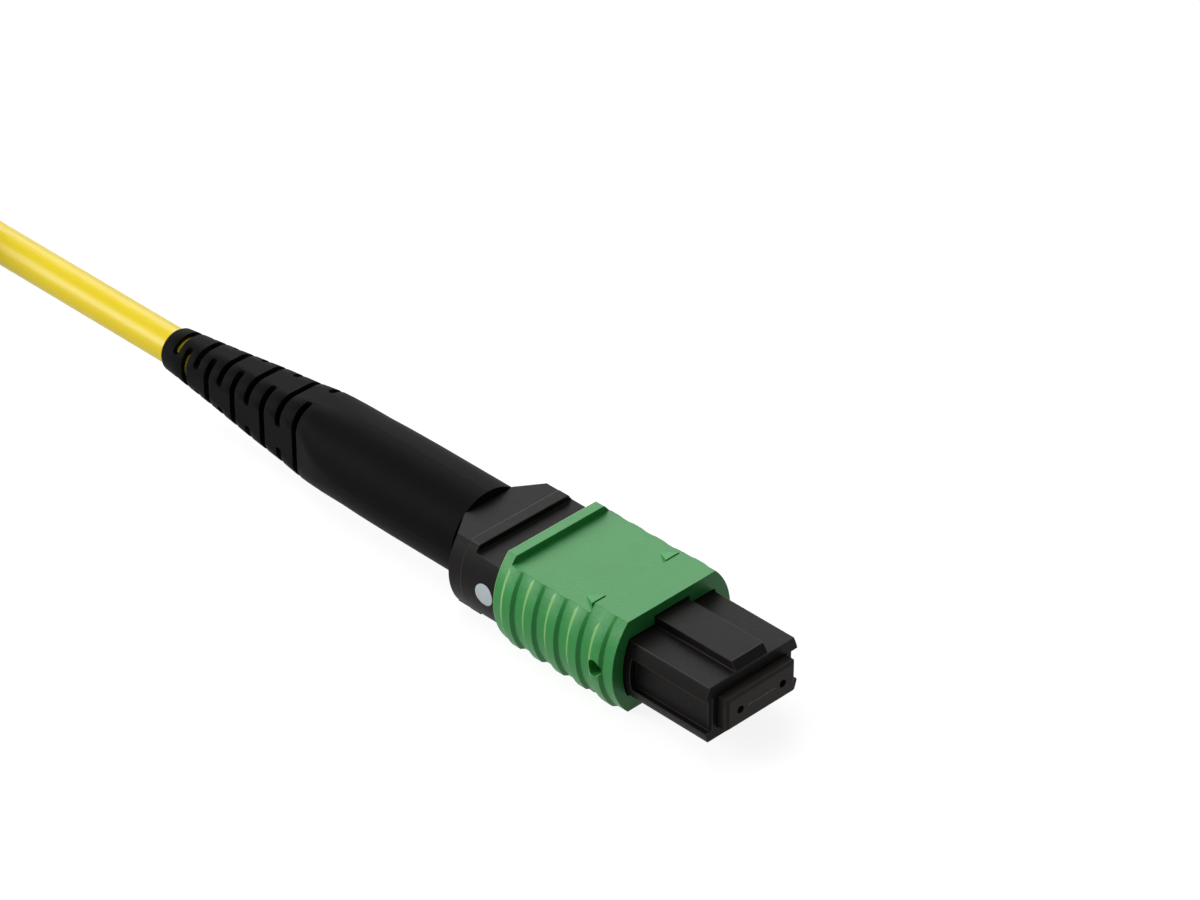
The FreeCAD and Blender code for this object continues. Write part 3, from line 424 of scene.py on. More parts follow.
CRIMP_METAL = Finish(
    "crimp_metal", tone(200, 196, 186), tone(178, 172, 160),
    patch=700, rough=0.28, depth=2e-6, metal=1.0,
)
ARAMID = Finish(
    "aramid", tone(214, 186, 92), tone(192, 160, 66),
    patch=3000, rough=0.6, depth=3e-5,
)
GUIDE_RUBBER = Finish("guide_rubber", tone(36, 36, 38), tone(28, 28, 30), rough=0.5)
TIE_FABRIC = Finish(
    "tie_fabric", tone(34, 34, 37), tone(20, 20, 23),
    patch=2600, wander=0.9, rough=0.75, grain=3200, coarse=0.9, depth=1.2e-4, sheen=0.3,
)
FIBRE_TONES: dict[str, Tone] = {
    "blue": tone(30, 80, 190), "orange": tone(235, 120, 25), "green": tone(35, 150, 60),
    "brown": tone(110, 65, 35), "slate": tone(110, 118, 124), "white": tone(232, 232, 226),
    "red": tone(200, 30, 34), "black": tone(30, 30, 30), "yellow": tone(240, 210, 40),
    "violet": tone(110, 50, 150), "rose": tone(235, 130, 160), "aqua": tone(60, 190, 200),
}


# ---- mesh helpers


def deselect() -> None:
    """Leaves edit mode and deselects every object."""
    if bpy.context.object and bpy.context.object.mode != "OBJECT":
        bpy.ops.object.mode_set(mode="OBJECT")
    bpy.ops.object.select_all(action="DESELECT")


def edit_mode() -> None:
    """Goes into edit mode."""
    bpy.ops.object.mode_set(mode="EDIT")


def object_mode() -> None:
    """Goes into object mode."""
    bpy.ops.object.mode_set(mode="OBJECT")


def edit_all() -> None:
    """Goes into edit mode and selects everything."""
    edit_mode()
    bpy.ops.mesh.select_all(action="SELECT")


def make_active(piece: bpy.types.Object) -> None:
    """Selects one object alone and makes it the active one.

    Args:
        piece: The object.
    """
    deselect()
    piece.select_set(True)
    bpy.context.view_layer.objects.active = piece


def join(pieces: list[bpy.types.Object]) -> bpy.types.Object:
    """Joins some objects into the first of them.

    Args:
        pieces: The objects.

    Returns:
        The first object, which is the active one.
    """
    make_active(pieces[0])
    for piece in pieces:
        piece.select_set(True)
    bpy.ops.object.join()
    return pieces[0]


def dress(piece: bpy.types.Object, finish: Finish) -> None:
    """Gives a piece one finish in every slot.

    Args:
        piece: The object to dress.
        finish: The finish that it takes.
    """
    if not piece.material_slots:
        piece.data.materials.append(finish.material())
    for slot in piece.material_slots:
        slot.material = finish.material()


def node_object(name: str) -> bpy.types.Object:
    """Returns the object of a CAD node."""
    return frame["nodes"][name]


def merged_copy(node: str, ending: str) -> bpy.types.Object:
    """Copies a CAD node and merges the corners of its loose triangles.

    Args:
        node: The CAD node.
        ending: What the copy's name has after the node's.

    Returns:
        The copy at the origin, in edit mode with everything selected.
    """
    piece = bpy.data.objects.new(f"{node}_{ending}", node_object(node).data.copy())
    bpy.context.scene.collection.objects.link(piece)
    make_active(piece)
    edit_all()
    bpy.ops.mesh.remove_doubles(threshold=MERGE)
    return piece


@dataclass(frozen=True)
class SoftEdges:
    """A copy of a CAD node with a moulding's rounded edges, which stands for that node.

    Attributes:
        node: The CAD node that the piece stands for.
        slot: The record's material slot of that node; not used.
        finish: The finish of its faces.
        painted_highlight: The finish of the rounded edges, a lighter tone that paints a highlight
            on them.
        width: The width of the rounding in metres.
        angle: The least angle of an edge that is rounded, in degrees.
        segments: How many facets the rounding has.
        crease: The least angle of an edge that stays crisp, in degrees.
        flat: Faces that meet at less than this angle become one, in degrees.
        evenness: How much a face's area counts in the shading, of 100.
    """

    node: str
    slot: str
    finish: Finish
    painted_highlight: Finish
    width: float
    angle: float = 25.0
    segments: int = 2
    crease: float = 20.0
    flat: float = 0.4
    evenness: int = 80

    def build(self) -> bpy.types.Object:
        """Makes the piece, rounds its edges and lets it stand for its CAD node.

        Returns:
            The finished piece, at the origin.
        """
        piece = self.start()
        bpy.ops.mesh.dissolve_limited(angle_limit=math.radians(self.flat))
        self.shape(piece)
        object_mode()
        self._round(piece)
        self.colour(piece)
        self._flatten(piece)
        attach(piece, node_object(self.node)["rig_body"])
        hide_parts(self.node)
        log.info("%s: %d faces", piece.name, len(piece.data.polygons))
        return piece

    def start(self) -> bpy.types.Object:
        """Returns the node's merged copy, in edit mode with everything selected."""
        return merged_copy(self.node, "moulding")

    def shape(self, piece: bpy.types.Object) -> None:
        """Shapes the merged copy further in edit mode; a plain moulding has nothing more."""

    def colour(self, piece: bpy.types.Object) -> None:
        """Chooses each face's finish; a plain moulding keeps the painted highlight on its rounded
        edges.
        """

    def _round(self, piece: bpy.types.Object) -> None:
        """Gives the piece its finishes and rounds its edges.

        Args:
            piece: The shaped piece, the active one.
        """
        piece.data.materials.clear()
        for surface in (self.finish, self.painted_highlight):
            piece.data.materials.append(surface.material())
        rounding = piece.modifiers.new("rounding", "BEVEL")
        rounding.width = self.width
        rounding.segments = self.segments
        rounding.limit_method = "ANGLE"
        rounding.angle_limit = math.radians(self.angle)
        rounding.use_clamp_overlap = True
        # The rounded edges take the second finish, a lighter tone that paints a highlight on
        # them.
        rounding.material = 1
        bpy.ops.object.modifier_apply(modifier="rounding")

    def _flatten(self, piece: bpy.types.Object) -> None:
        """Keeps the creases crisp and the large faces flat, and smooths what is round.

        Args:
            piece: The rounded piece.
        """
        make_active(piece)
        bpy.ops.object.shade_smooth_by_angle(
            angle=math.radians(self.crease), keep_sharp_edges=True
        )
        even = piece.modifiers.new("even", "WEIGHTED_NORMAL")
        even.mode = "FACE_AREA"
        even.weight = self.evenness
        even.keep_sharp = True
        bpy.ops.object.modifier_apply(modifier="even")
        deselect()


@dataclass(frozen=True)
class SleeveMoulding(SoftEdges):
    """The coupling sleeve: its arrowheads are wedges, and its ribs fade towards the upper panel.

    Attributes:
        point: Where the arrowheads' points are along X.
        base: Where the arrowheads' bases are along X.
        arrow_height: The arrowheads' even height before they become wedges.
        base_lift: How far the wedges rise above that height at their bases.
        wedge_faces: The least and the most X of the normal of a wedge's upper face.
        upward: The least Z of that normal.
        plate: The height of the panel that the arrowheads stand on.
        painted_highlight_faces: The least and the most X of the normal of a face that gets the
            painted highlight, a face that looks back towards the light behind.
        painted_highlight_side: Such faces are further out than this, or at the rear edge.
        side_radius: The radius of the bowed sides between the ribs.
        rib_height: How far the ribs stand out half way up a side.
        middle: The height of the bowed sides' middle.
        fade: How much lower the ribs are where they meet the upper panel.
        rear_rounding: The rounding of the rear edge.
    """

    point: float = -14.85 * MM
    base: float = -13.45 * MM
    arrow_height: float = 0.2 * MM
    base_lift: float = 0.2 * MM
    wedge_faces: tuple[float, float] = (-0.4, -0.05)
    upward: float = 0.9
    plate: float = 3.8 * MM
    painted_highlight_faces: tuple[float, float] = (-0.97, -0.3)
    painted_highlight_side: float = 5.0 * MM
    side_radius: float = 6.16 * MM
    rib_height: float = 0.25 * MM
    middle: float = 0.15 * MM
    fade: float = 0.75
    rear_rounding: float = 0.10 * MM

    def shape(self, piece: bpy.types.Object) -> None:
        """Fades the ribs, makes the arrowheads wedges and rounds the rear edge.

        Args:
            piece: The merged copy, in edit mode.
        """
        bpy.ops.mesh.select_all(action="DESELECT")
        object_mode()
        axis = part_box(self.node)[1].y - self.rib_height - self.side_radius
        for vertex in piece.data.vertices:
            out, up = abs(vertex.co.y) - axis, vertex.co.z - self.middle
            rise = math.hypot(out, up) - self.side_radius
            if CLOSE < rise < self.rib_height + CLOSE and out > 0:
                height = min(max(up, 0.0) / (self.plate - self.middle), 1.0)
                radius = self.side_radius + rise * (1.0 - self.fade * height ** 4)
                vertex.co.y = math.copysign(axis + math.sqrt(radius ** 2 - up ** 2), vertex.co.y)
        self._lift(piece, self.point, -self.arrow_height)
        self._lift(piece, self.base, self.base_lift)
        bpy.ops.mesh.select_all(action="SELECT")
        bpy.ops.mesh.remove_doubles(threshold=MERGE)
        bpy.ops.mesh.select_all(action="DESELECT")
        object_mode()
        steep, shallow = self.wedge_faces
        for face in piece.data.polygons:
            face.select = steep < face.normal.x < shallow and face.normal.z > self.upward
        edit_mode()
        bpy.ops.mesh.select_mode(type="FACE")
        bpy.ops.mesh.region_to_loop()
        bpy.ops.mesh.mark_sharp()
        self._round_rear(piece, axis)

    def _lift(self, piece: bpy.types.Object, place: float, lift: float) -> None:
        """Moves the arrowheads' upper corners at one place up or down, and leaves edit mode on.

        Args:
            piece: The merged copy, in object mode or edit mode.
            place: Where the corners are along X.
            lift: How far they move up.
        """
        edit_mode()
        bpy.ops.mesh.select_mode(type="VERT")
        bpy.ops.mesh.select_all(action="DESELECT")
        object_mode()
        top = self.plate + self.arrow_height
        for vertex in piece.data.vertices:
            spot = vertex.co
            vertex.select = abs(spot.x - place) < CLOSE and abs(spot.z - top) < CLOSE
        edit_mode()
        bpy.ops.transform.translate(value=(0.0, 0.0, lift))

    def _round_rear(self, piece: bpy.types.Object, axis: float) -> None:
        """Rounds the outer rear edge.

        Args:
            piece: The merged copy, in edit mode.
            axis: How far the bowed sides' axes are from the middle.
        """
        low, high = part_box(self.node)
        bpy.ops.mesh.select_all(action="DESELECT")
        object_mode()
        outer = set()
        for vertex in piece.data.vertices:
            spot = vertex.co
            across = math.hypot(abs(spot.y) - axis, spot.z - self.middle)
            beside = across > self.side_radius - CLOSE and abs(spot.y) > axis
            level = spot.z > high.z - CLOSE or spot.z < low.z + CLOSE
            if (beside or level) and spot.x < low.x + CLOSE:
                outer.add(vertex.index)
        for edge in piece.data.edges:
            edge.select = all(index in outer for index in edge.vertices)
        edit_mode()
        bpy.ops.mesh.select_mode(type="EDGE")
        bpy.ops.mesh.bevel(affect="EDGES", offset=self.rear_rounding, segments=2)

    def colour(self, piece: bpy.types.Object) -> None:
        """Paints a highlight on the rear edge and the ribs' rear slopes, which face the light
        behind.

        Args:
            piece: The rounded copy.
        """
        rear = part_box(self.node)[0].x + self.rear_rounding
        steep, shallow = self.painted_highlight_faces
        for face in piece.data.polygons:
            outside = abs(face.center.y) > self.painted_highlight_side or face.center.x < rear
            # Painted highlight: the rear-facing faces take the pale green tone.
            face.material_index = int(outside and steep < face.normal.x < shallow)


# ---- sub-assemblies


@dataclass(frozen=True)
class CoilSpring:
    """A steel spring, which stands for its CAD node.

    Attributes:
        node: The CAD node.
        joint: The joint that works the spring.
        crease: The least angle of an edge that stays crisp, in degrees.
    """

    node: str
    joint: str
    crease: float = 60.0

    def build(self) -> bpy.types.Object:
        """Copies the node, merges its triangles and gives it the steel finish.

        Returns:
            The finished spring, at the origin.
        """
        source = node_object(self.node)
        piece = merged_copy(self.node, "wire")
        object_mode()
        bpy.ops.object.shade_smooth_by_angle(angle=math.radians(self.crease))
        dress(piece, SPRING_STEEL)
        deselect()
        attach(piece, source["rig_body"])
        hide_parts(self.node)
        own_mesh(piece)
        log.info("%s: shortens with %s", piece.name, self.joint)
        return piece


@dataclass(frozen=True)
class Section:
    """A rounded rectangle across the boot.

    Attributes:
        x: Where it stands along the boot.
        wide: Half its width.
        high: Half its height.
        corner: The radius of its corners.
    """

    x: float
    wide: float
    high: float
    corner: float


@dataclass(frozen=True)
class StrainReliefBoot(SoftEdges):
    """The boot: a round grip and a squarish tail that planar slots make flexible.

    Attributes:
        sections: The outside, from the front to the tail's end, in millimetres.
        mouth_radius: The radius of the hollow that the spring push enters.
        mouth_end: Where that hollow ends.
        bore_radius: The radius of the hole for the cable.
        core_radius: The radius of the rubber that the front slots leave round the cable.
        core_front: Where that rubber begins.
        core_end: Behind this the slots reach the hole.
        slots: The slots' places in millimetres; those on the sides and those above and below
            take turns.
        slot_width: How wide a slot is.
        slot_reach: How far a slot's cutter reaches out from the web.
        web: Half the width of the web between two slots of a pair.
        slot_round: The rounding at a slot's inner end.
        corner_steps: How many facets a corner has.
        round_steps: How many facets a round hole has.
        merge: Corners that are closer than this become one.
    """

    sections: tuple[Section, ...] = (
        Section(-29.85, 4.10, 4.10, 4.09),
        Section(-38.50, 4.10, 4.10, 4.09),
        Section(-42.00, 4.06, 4.06, 4.05),
        Section(-44.00, 4.00, 4.00, 3.99),
        Section(-46.50, 3.80, 3.90, 3.50),
        Section(-48.20, 3.30, 3.75, 2.50),
        Section(-49.50, 3.00, 3.65, 2.00),
        Section(-52.00, 2.81, 3.30, 1.85),
        Section(-56.00, 2.55, 3.00, 1.80),
        Section(-61.20, 2.25, 2.50, 1.90),
        Section(-65.70, 1.99, 2.11, 1.90),
        Section(-67.20, 1.95, 1.95, 1.94),
        Section(-67.45, 1.80, 1.80, 1.79),
    )
    mouth_radius: float = 3.15 * MM
    mouth_end: float = -43.6 * MM
    bore_radius: float = 1.70 * MM
    core_radius: float = 1.95 * MM
    core_front: float = -44.0 * MM
    core_end: float = -60.0 * MM
    slots: tuple[float, ...] = (
        -49.50, -51.73, -53.84, -55.85, -57.75, -59.54, -61.22, -62.80, -64.27, -65.66,
    )
    slot_width: float = 0.68 * MM
    slot_reach: float = 4.0 * MM
    web: float = 1.0 * MM
    slot_round: float = 0.30 * MM
    corner_steps: int = 12
    round_steps: int = 56
    merge: float = 0.005 * MM

    def start(self) -> bpy.types.Object:
        """Builds the solid, cuts its slots and holes and merges its closest corners.

        Returns:
            The boot at the origin, in edit mode with everything selected.
        """
        piece = self._outside()
        front = self._blades([place for place in self.slots if place * MM > self.core_end])
        self._cut(front, self._cylinder(self.core_radius, self.core_front, self.core_end))
        rear = self._blades([place for place in self.slots if place * MM <= self.core_end])
        low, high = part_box(self.node)
        mouth = self._cylinder(self.mouth_radius, high.x + MM, self.mouth_end)
        bore = self._cylinder(self.bore_radius, high.x, low.x - MM)
        for cutter in (front, rear, mouth, bore):
            self._cut(piece, cutter)
        make_active(piece)
        edit_all()
        bpy.ops.mesh.remove_doubles(threshold=self.merge)
        return piece

    def _outside(self) -> bpy.types.Object:
        """Bridges the sections into one closed solid.

        Returns:
            The solid.
        """
        rings = []
        for section in self.sections:
            deselect()
            bpy.ops.mesh.primitive_plane_add(
                size=1.0, location=(section.x * MM, 0, 0), rotation=(0, math.pi / 2, 0)
            )
            ring = bpy.context.object
            ring.scale = (2 * section.high * MM, 2 * section.wide * MM, 1.0)
            bpy.ops.object.transform_apply()
            edit_all()
            bpy.ops.mesh.bevel(
                affect="VERTICES", offset=section.corner * MM, segments=self.corner_steps
            )
            bpy.ops.mesh.select_all(action="SELECT")
            bpy.ops.mesh.delete(type="ONLY_FACE")
            object_mode()
            rings.append(ring)
        piece = join(rings)
        piece.name = "strain_relief_boot_rubber"
        edit_all()
        bpy.ops.mesh.bridge_edge_loops()
        bpy.ops.mesh.select_all(action="SELECT")
        bpy.ops.mesh.fill_holes(sides=0)
        bpy.ops.mesh.select_all(action="SELECT")
        bpy.ops.mesh.normals_make_consistent(inside=False)
        object_mode()
        return piece

    def _blades(self, places: list[float]) -> bpy.types.Object:
        """Builds the cutters of some slots from one blade and its copies.

        Args:
            places: The slots' places along X, in millimetres.

        Returns:
            One object with a pair of blades for each slot.
        """
        deselect()
        middle = self.web + self.slot_reach / 2
        bpy.ops.mesh.primitive_cube_add(size=1.0, location=(0.0, middle, 0.0))
        blade = bpy.context.object
        blade.scale = (self.slot_width, self.slot_reach, 4 * self.slot_reach)
        bpy.ops.object.transform_apply()
        for edge in blade.data.edges:
            start, end = (blade.data.vertices[index].co for index in edge.vertices)
            inner = max(start.y, end.y) < self.web + MERGE
            edge.select = inner and abs(start.z - end.z) > self.slot_reach
        for vertex in blade.data.vertices:
            vertex.select = vertex.co.y < self.web + MERGE
        for face in blade.data.polygons:
            face.select = False
        edit_mode()
        bpy.ops.mesh.select_mode(type="EDGE")
        bpy.ops.mesh.bevel(affect="EDGES", offset=self.slot_round, segments=4)
        object_mode()
        blades = []
        for place in places:
            turn = math.pi / 2 if self.slots.index(place) % 2 else 0.0
            for side in (0.0, math.pi):
                copy = bpy.data.objects.new("blade", blade.data.copy())
                bpy.context.scene.collection.objects.link(copy)
                copy.rotation_euler = (turn + side, 0.0, 0.0)
                copy.location = (place * MM, 0.0, 0.0)
                blades.append(copy)
        bpy.data.objects.remove(blade)
        cutter = join(blades)
        bpy.ops.object.transform_apply()
        return cutter

    def _cylinder(self, radius: float, front: float, rear: float) -> bpy.types.Object:
        """Adds a cylinder along X.

        Args:
            radius: Its radius.
            front: Its front end.
            rear: Its rear end.

        Returns:
            The cylinder.
        """
        deselect()
        bpy.ops.mesh.primitive_cylinder_add(
            vertices=self.round_steps, radius=radius, depth=front - rear,
            location=((front + rear) / 2, 0, 0), rotation=(0, math.pi / 2, 0),
        )
        bpy.ops.object.transform_apply()
        return bpy.context.object

    @staticmethod
    def _cut(piece: bpy.types.Object, cutter: bpy.types.Object) -> None:
        """Cuts one solid out of another and removes the cutter.

        Args:
            piece: What is cut.
            cutter: What is cut out.
        """
        make_active(piece)
        cut = piece.modifiers.new("cut", "BOOLEAN")
        cut.operation = "DIFFERENCE"
        cut.solver = "EXACT"
        cut.object = cutter
        bpy.ops.object.modifier_apply(modifier="cut")
        bpy.data.objects.remove(cutter)


@dataclass
class RigidBodywork:
    """The moulded and drawn pieces that keep their shape at every pose.

    Attributes:
        finishes: CAD node to the finish that it takes.
        mouldings: The pieces that stand for a node, with rounded edges.
        fibre_shade: How bright a fibre's other tone is beside its main one.
    """

    finishes: dict[str, Finish] = field(default_factory=lambda: {
        "pin_keeper": CRIMP_METAL,
        "ferrule_boot": GUIDE_RUBBER,
        "position_dot": DOT_PAINT,
        "aramid_yarn": ARAMID,
        "crimp_sleeve": CRIMP_METAL,
        "cable_end": JACKET,
        "hank_tie_left": TIE_FABRIC,
        "hank_tie_right": TIE_FABRIC,
    })
    mouldings: tuple[SoftEdges, ...] = (
        SoftEdges("ferrule", "ferrule_resin", FERRULE_RESIN, BLACK_PAINTED_HIGHLIGHT, 0.03 * MM),
        SoftEdges("inner_housing", "black_plastic", BLACK_PLASTIC, BLACK_PAINTED_HIGHLIGHT, 0.07 * MM),
        SoftEdges("spring_push", "black_plastic", BLACK_PLASTIC, BLACK_PAINTED_HIGHLIGHT, 0.06 * MM),
        SleeveMoulding(
            "coupling_sleeve", "green_plastic", GREEN_PLASTIC, GREEN_PAINTED_HIGHLIGHT, 0.03 * MM,
            angle=11.0, crease=11.0,
        ),
        StrainReliefBoot(
            "strain_relief_boot", "boot_rubber", BOOT_RUBBER, BOOT_PAINTED_HIGHLIGHT, 0.06 * MM,
            angle=32.0, crease=30.0, flat=0.3,
        ),
    )
    fibre_shade: float = 0.8

    def dress_all(self) -> None:
        """Gives every kept CAD node its finish."""
        for node, finish in self.finishes.items():
            dress(node_object(node), finish)
            log.info("dressed %s in %s", node, finish.name)

    def build_mouldings(self) -> None:
        """Builds the pieces with rounded edges."""
        for moulding in self.mouldings:
            moulding.build()

    def dress_fibres(self) -> None:
        """Gives each fibre its colour."""
        for node in frame["nodes"]:
            colour = node.rsplit("_", 1)[-1]
            if node.startswith("fibre_") and colour in FIBRE_TONES:
                base = FIBRE_TONES[colour]
                deep = tuple(self.fibre_shade * value for value in base)
                dress(node_object(node), FibreFinish(
                    f"fibre_{colour}", base, deep, patch=2000, rough=0.25, grain=15000,
                ))


@dataclass
class Pigtail:
    """The free cable: straight out of the boot, then folded into a tied hank.

    Attributes:
        diameter: The cable's outside diameter.
        route: The points from the boot to the hank's first run.
        straight: One more point on the long straight run, near its corner.
        rows: How many rows of two turns lie under the last turn.
        fold_parts: How many parts each fold's half turn has.
        change: The share of the first fold at which the cable changes to the next turn.
        change_step: How much earlier that is at each further fold.
        change_share: The share of a fold that a change takes.
        length: The cable's real length; not used.
    """

    diameter: float = 3.3 * MM
    route: tuple[tuple[float, float, float], ...] = (
        (-0.0660, 0.0, 0.0),
        (-0.0955, 0.0, 0.0),
        (-0.1060, 0.0030, -0.00195),
        (-0.1152, 0.0030, -0.00195),
    )
    straight: tuple[float, float, float] = (-0.0836, 0.0, 0.0)
    rows: int = 3
    fold_parts: int = 10
    change: float = 0.95
    change_step: float = 0.18
    change_share: float = 0.2
    length: float = 1.0

    def build(self) -> bpy.types.Object:
        """Returns:
            The cable's curve.
        """
        start, *rest = self.route
        points = [Vector(place) for place in (start, self.straight, *rest)] + self._turns()
        curve = bpy.data.curves.new("cable", "CURVE")
        curve.dimensions = "3D"
        spline = curve.splines.new("NURBS")
        spline.points.add(len(points) - 1)
        for spot, point in zip(spline.points, points):
            spot.co = (*point, 1.0)
        spline.order_u = 3
        spline.use_endpoint_u = True
        spline.resolution_u = 5
        curve.bevel_depth = self.diameter / 2
        curve.bevel_resolution = 8
        curve.use_fill_caps = True
        piece = bpy.data.objects.new("cable", curve)
        bpy.context.scene.collection.objects.link(piece)
        dress(piece, JACKET)
        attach(piece, "connector_body")
        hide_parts("cable_run", "cable_hank")
        log.info("cable laid in %d points", len(points))
        return piece

    def _turns(self) -> list[Vector]:
        """Lays the hank's turns: rows of an outer and an inner turn, and a last turn on top.

        Returns:
            The points of all the turns, in the cable's direction.
        """
        low, high = (Vector(corner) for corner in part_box("cable_hank"))
        gap = self.diameter
        middle = (low.y + high.y) / 2
        outer = (high.y - low.y - gap) / 2
        inner = outer - gap
        near, far = high.x - outer - gap / 2, low.x + outer + gap / 2
        floor = low.z + gap / 2
        places = []
        for row in range(self.rows):
            pair = [(outer, floor + row * gap), (inner, floor + row * gap)]
            places += pair if row % 2 == 0 else pair[::-1]
        places.append(((outer + inner) / 2, high.z - gap / 2))
        points: list[Vector] = []
        for number, (radius, height) in enumerate(places):
            lead = radius * math.tan(math.pi / self.fold_parts / 2)
            points += [Vector((x, middle + radius, height)) for x in (near - lead, far + lead)]
            points += self._fold(far, middle, math.pi / 2, lambda share: (radius, height))
            last = number == len(places) - 1
            ends = (far + lead, near - (0.0 if last else lead))
            points += [Vector((x, middle - radius, height)) for x in ends]
            if last:
                break
            change = self.change - self.change_step * number
            shift = self._shift(places[number], places[number + 1], change)
            points += self._fold(near, middle, -math.pi / 2, shift)
        return points

    def _shift(
        self, here: tuple[float, float], there: tuple[float, float], middle: float
    ) -> Callable[[float], tuple[float, float]]:
        """Returns the radius and height along a fold that changes place around one share of it.

        Args:
            here: The radius and height before the fold.
            there: The radius and height after the fold.
            middle: The share of the fold at which the change is half done.

        Returns:
            A function from a share of the fold to its radius and height.
        """

        def at(share: float) -> tuple[float, float]:
            """Returns the radius and height at one share of the fold.

            Args:
                share: The share of the fold that is laid.

            Returns:
                The radius and height.
            """
            done = min(max((share - middle) / self.change_share + 0.5, 0.0), 1.0)
            eased = done * done * (3 - 2 * done)
            return tuple(a + (b - a) * eased for a, b in zip(here, there))

        return at

    def _fold(
        self, x: float, middle: float, start: float, at: Callable[[float], tuple[float, float]]
    ) -> list[Vector]:
        """Lays one half turn about a fold's centre.

        Args:
            x: The fold centre's place along the hank.
            middle: The hank's middle line.
            start: The angle at which the half turn starts.
            at: The radius and height at each share of the half turn.

        Returns:
            The half turn's points.
        """
        part = math.pi / self.fold_parts
        points = []
        for number in range(self.fold_parts):
            share = (number + 0.5) / self.fold_parts
            radius, height = at(share)
            reach = radius / math.cos(part / 2)
            angle = start + share * math.pi
            along, across = reach * math.cos(angle), reach * math.sin(angle)
            points.append(Vector((x + along, middle + across, height)))
        return points


# ---- stage


def seen_rays(tree: bpy.types.NodeTree) -> bpy.types.NodeSocket:
    """Adds the nodes that tell rays that show the background from rays that only light.

    Args:
        tree: The material's or the world's own nodes.

    Returns:
        A value that is 1 for camera, glossy and transmission rays and 0 for the others.
    """
    path = tree.nodes.new("ShaderNodeLightPath")
    seen = path.outputs["Is Camera Ray"]
    for ray in ("Is Glossy Ray", "Is Transmission Ray"):
        either = tree.nodes.new("ShaderNodeMath")
        either.operation = "MAXIMUM"
        tree.links.new(seen, either.inputs[0])
        tree.links.new(path.outputs[ray], either.inputs[1])
        seen = either.outputs[0]
    return seen


@dataclass(frozen=True)
class Lamp:
    """A soft square light.

    Attributes:
        name: The light's name.
        offset: Where it stands, from the place that it points at.
        size: Its width in metres.
        power: Its power in watts.
    """

    name: str
    offset: tuple[float, float, float]
    size: float
    power: float

    def build(self, aim: Vector) -> None:
        """Adds the light.

        Args:
            aim: What it points at.
        """
        lamp = bpy.data.lights.new(self.name, "AREA")
        lamp.shape = "SQUARE"
        lamp.size = self.size
        lamp.energy = self.power
        holder = bpy.data.objects.new(self.name, lamp)
        holder.location = aim + Vector(self.offset)
        holder.rotation_euler = Vector(self.offset).to_track_quat("Z", "Y").to_euler()
        bpy.context.scene.collection.objects.link(holder)


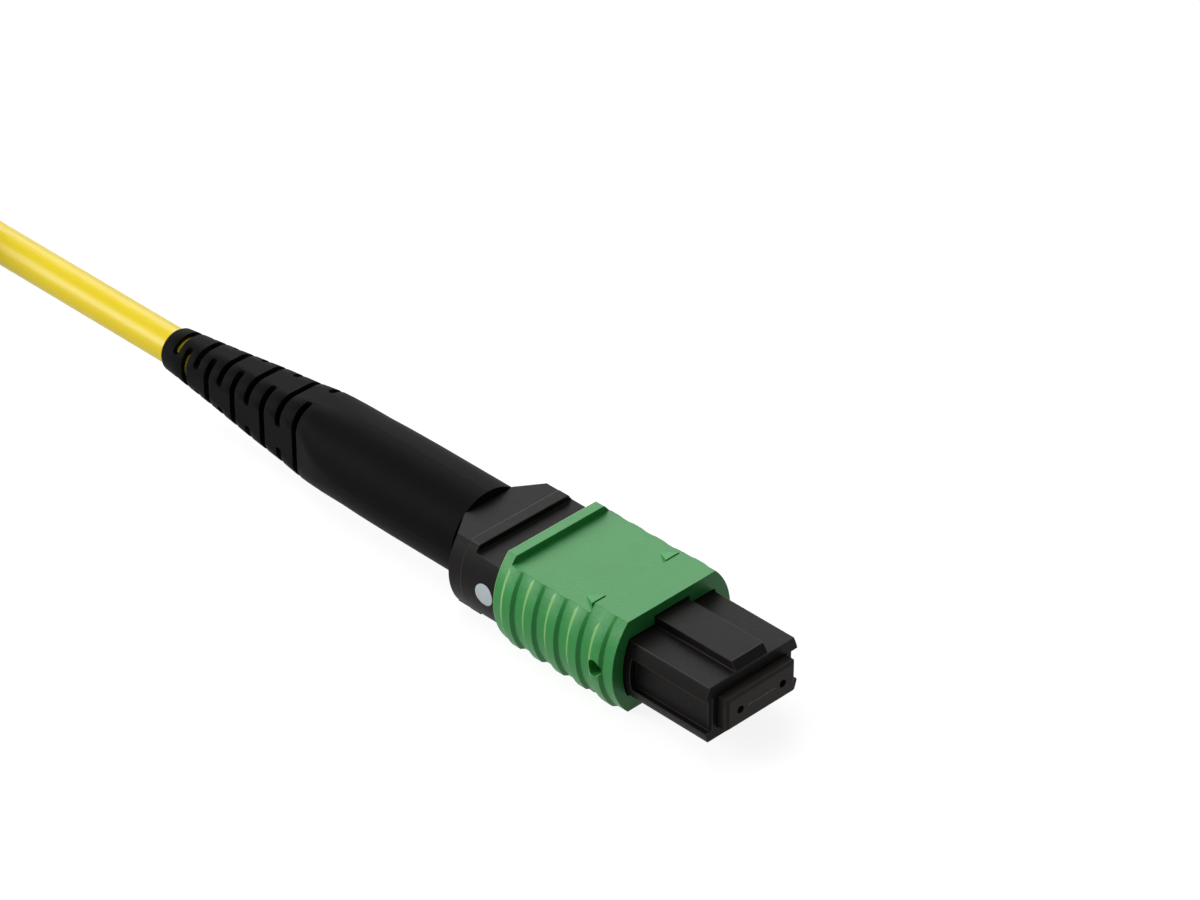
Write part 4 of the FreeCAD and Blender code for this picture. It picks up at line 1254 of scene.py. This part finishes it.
@dataclass
class Stage:
    """The pale floor, the soft lights and the world.

    Attributes:
        floor_size: The floor's width in metres.
        floor_tone: How much light the floor gives back, linear.
        floor_glow: The strength of the floor's own light in the rays that show it.
        world: The strength of the world's light.
        aim: What the lights point at.
        lamps: A broad light above, one that skims the upper faces and one on the ribbed side.
    """

    floor_size: float = 6.0
    floor_tone: float = 0.28
    floor_glow: float = 0.88
    world: float = 0.09
    aim: tuple[float, float, float] = (-0.035, 0.0, 0.0)
    lamps: tuple[Lamp, ...] = (
        Lamp("overhead", (-0.15, -0.05, 0.55), 0.35, 0.66),
        Lamp("behind", (-0.30, 0.30, 0.30), 0.35, 1.40),
        Lamp("side", (-0.45, -0.42, 0.22), 0.30, 2.90),
    )

    def build(self) -> None:
        """Lays the floor, sets the world and adds the lights."""
        self._floor()
        self._world()
        for lamp in self.lamps:
            lamp.build(Vector(self.aim))

    def _floor(self) -> None:
        """Lays a plain pale floor under the lowest point."""
        low = Vector(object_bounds()[0])
        deselect()
        bpy.ops.mesh.primitive_plane_add(size=self.floor_size, location=(0, 0, low.z))
        floor = bpy.context.object
        floor.name = "floor"
        made = bpy.data.materials.new("floor_white")
        made.use_nodes = True
        nodes, links = made.node_tree.nodes, made.node_tree.links
        nodes.clear()
        out = nodes.new("ShaderNodeOutputMaterial")
        plain = nodes.new("ShaderNodeBsdfDiffuse")
        plain.inputs["Color"].default_value = (*[self.floor_tone] * 3, 1.0)
        dark, glow = (nodes.new("ShaderNodeEmission") for _ in range(2))
        dark.inputs["Strength"].default_value = 0.0
        glow.inputs["Color"].default_value = WHITE
        glow.inputs["Strength"].default_value = self.floor_glow
        choose = nodes.new("ShaderNodeMixShader")
        both = nodes.new("ShaderNodeAddShader")
        links.new(seen_rays(made.node_tree), choose.inputs[0])
        links.new(dark.outputs[0], choose.inputs[1])
        links.new(glow.outputs[0], choose.inputs[2])
        links.new(plain.outputs[0], both.inputs[0])
        links.new(choose.outputs[0], both.inputs[1])
        links.new(both.outputs[0], out.inputs["Surface"])
        floor.data.materials.append(made)
        floor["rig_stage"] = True

    def _world(self) -> None:
        """Sets a plain white world, full in the rays that show it and weak in the others."""
        world = bpy.data.worlds.new("world")
        bpy.context.scene.world = world
        world.use_nodes = True
        nodes, links = world.node_tree.nodes, world.node_tree.links
        back = nodes["Background"]
        back.inputs["Color"].default_value = WHITE
        strength = nodes.new("ShaderNodeMapRange")
        strength.inputs["To Min"].default_value = self.world
        strength.inputs["To Max"].default_value = 1.0
        links.new(seen_rays(world.node_tree), strength.inputs["Value"])
        links.new(strength.outputs[0], back.inputs["Strength"])


@dataclass
class Camera:
    """The camera's place, turn and lens.

    Attributes:
        azimuth: The turn round the upright axis in degrees.
        elevation: The height above the horizon in degrees.
        distance: How far it stands from the origin, along its view.
        right: How far the origin lies to the left of its middle line.
        up: How far the origin lies below its middle line.
        lens: The focal length in millimetres.
        sensor: The sensor's width in millimetres.
        clip: The nearest and the farthest that it sees.
    """

    azimuth: float = 45.28
    elevation: float = 34.41
    distance: float = 0.37928
    right: float = 0.012224
    up: float = -0.018617
    lens: float = 150.63
    sensor: float = 36.0
    clip: tuple[float, float] = (0.01, 20.0)

    def build(self) -> None:
        """Stands the camera and makes it the scene's."""
        turn, lift = math.radians(self.azimuth), math.radians(self.elevation)
        level = math.cos(lift)
        back = Vector((math.sin(turn) * level, -math.cos(turn) * level, math.sin(lift)))
        right = Vector((math.cos(turn), math.sin(turn), 0.0))
        up = back.cross(right)
        data = bpy.data.cameras.new("camera")
        data.lens = self.lens
        data.sensor_width = self.sensor
        data.clip_start, data.clip_end = self.clip
        holder = bpy.data.objects.new("camera", data)
        holder.location = back * self.distance - right * self.right - up * self.up
        holder.rotation_mode = "QUATERNION"
        holder.rotation_quaternion = Matrix((right, up, back)).transposed().to_quaternion()
        bpy.context.scene.collection.objects.link(holder)
        bpy.context.scene.camera = holder


def main() -> None:
    """Builds the camera, the cable, the pieces and the stage in order."""
    logging.basicConfig(level=logging.INFO, format="%(name)s: %(message)s")
    bpy.context.scene.view_settings.view_transform = "Standard"
    Camera().build()
    Pigtail().build()
    bodywork = RigidBodywork()
    bodywork.dress_all()
    bodywork.dress_fibres()
    bodywork.build_mouldings()
    for spring in (
        CoilSpring("main_spring", "ferrule_slide"),
        CoilSpring("sleeve_spring_left", "sleeve_slide"),
        CoilSpring("sleeve_spring_right", "sleeve_slide"),
    ):
        spring.build()
    Stage().build()


if __name__ == "__main__":
    main()
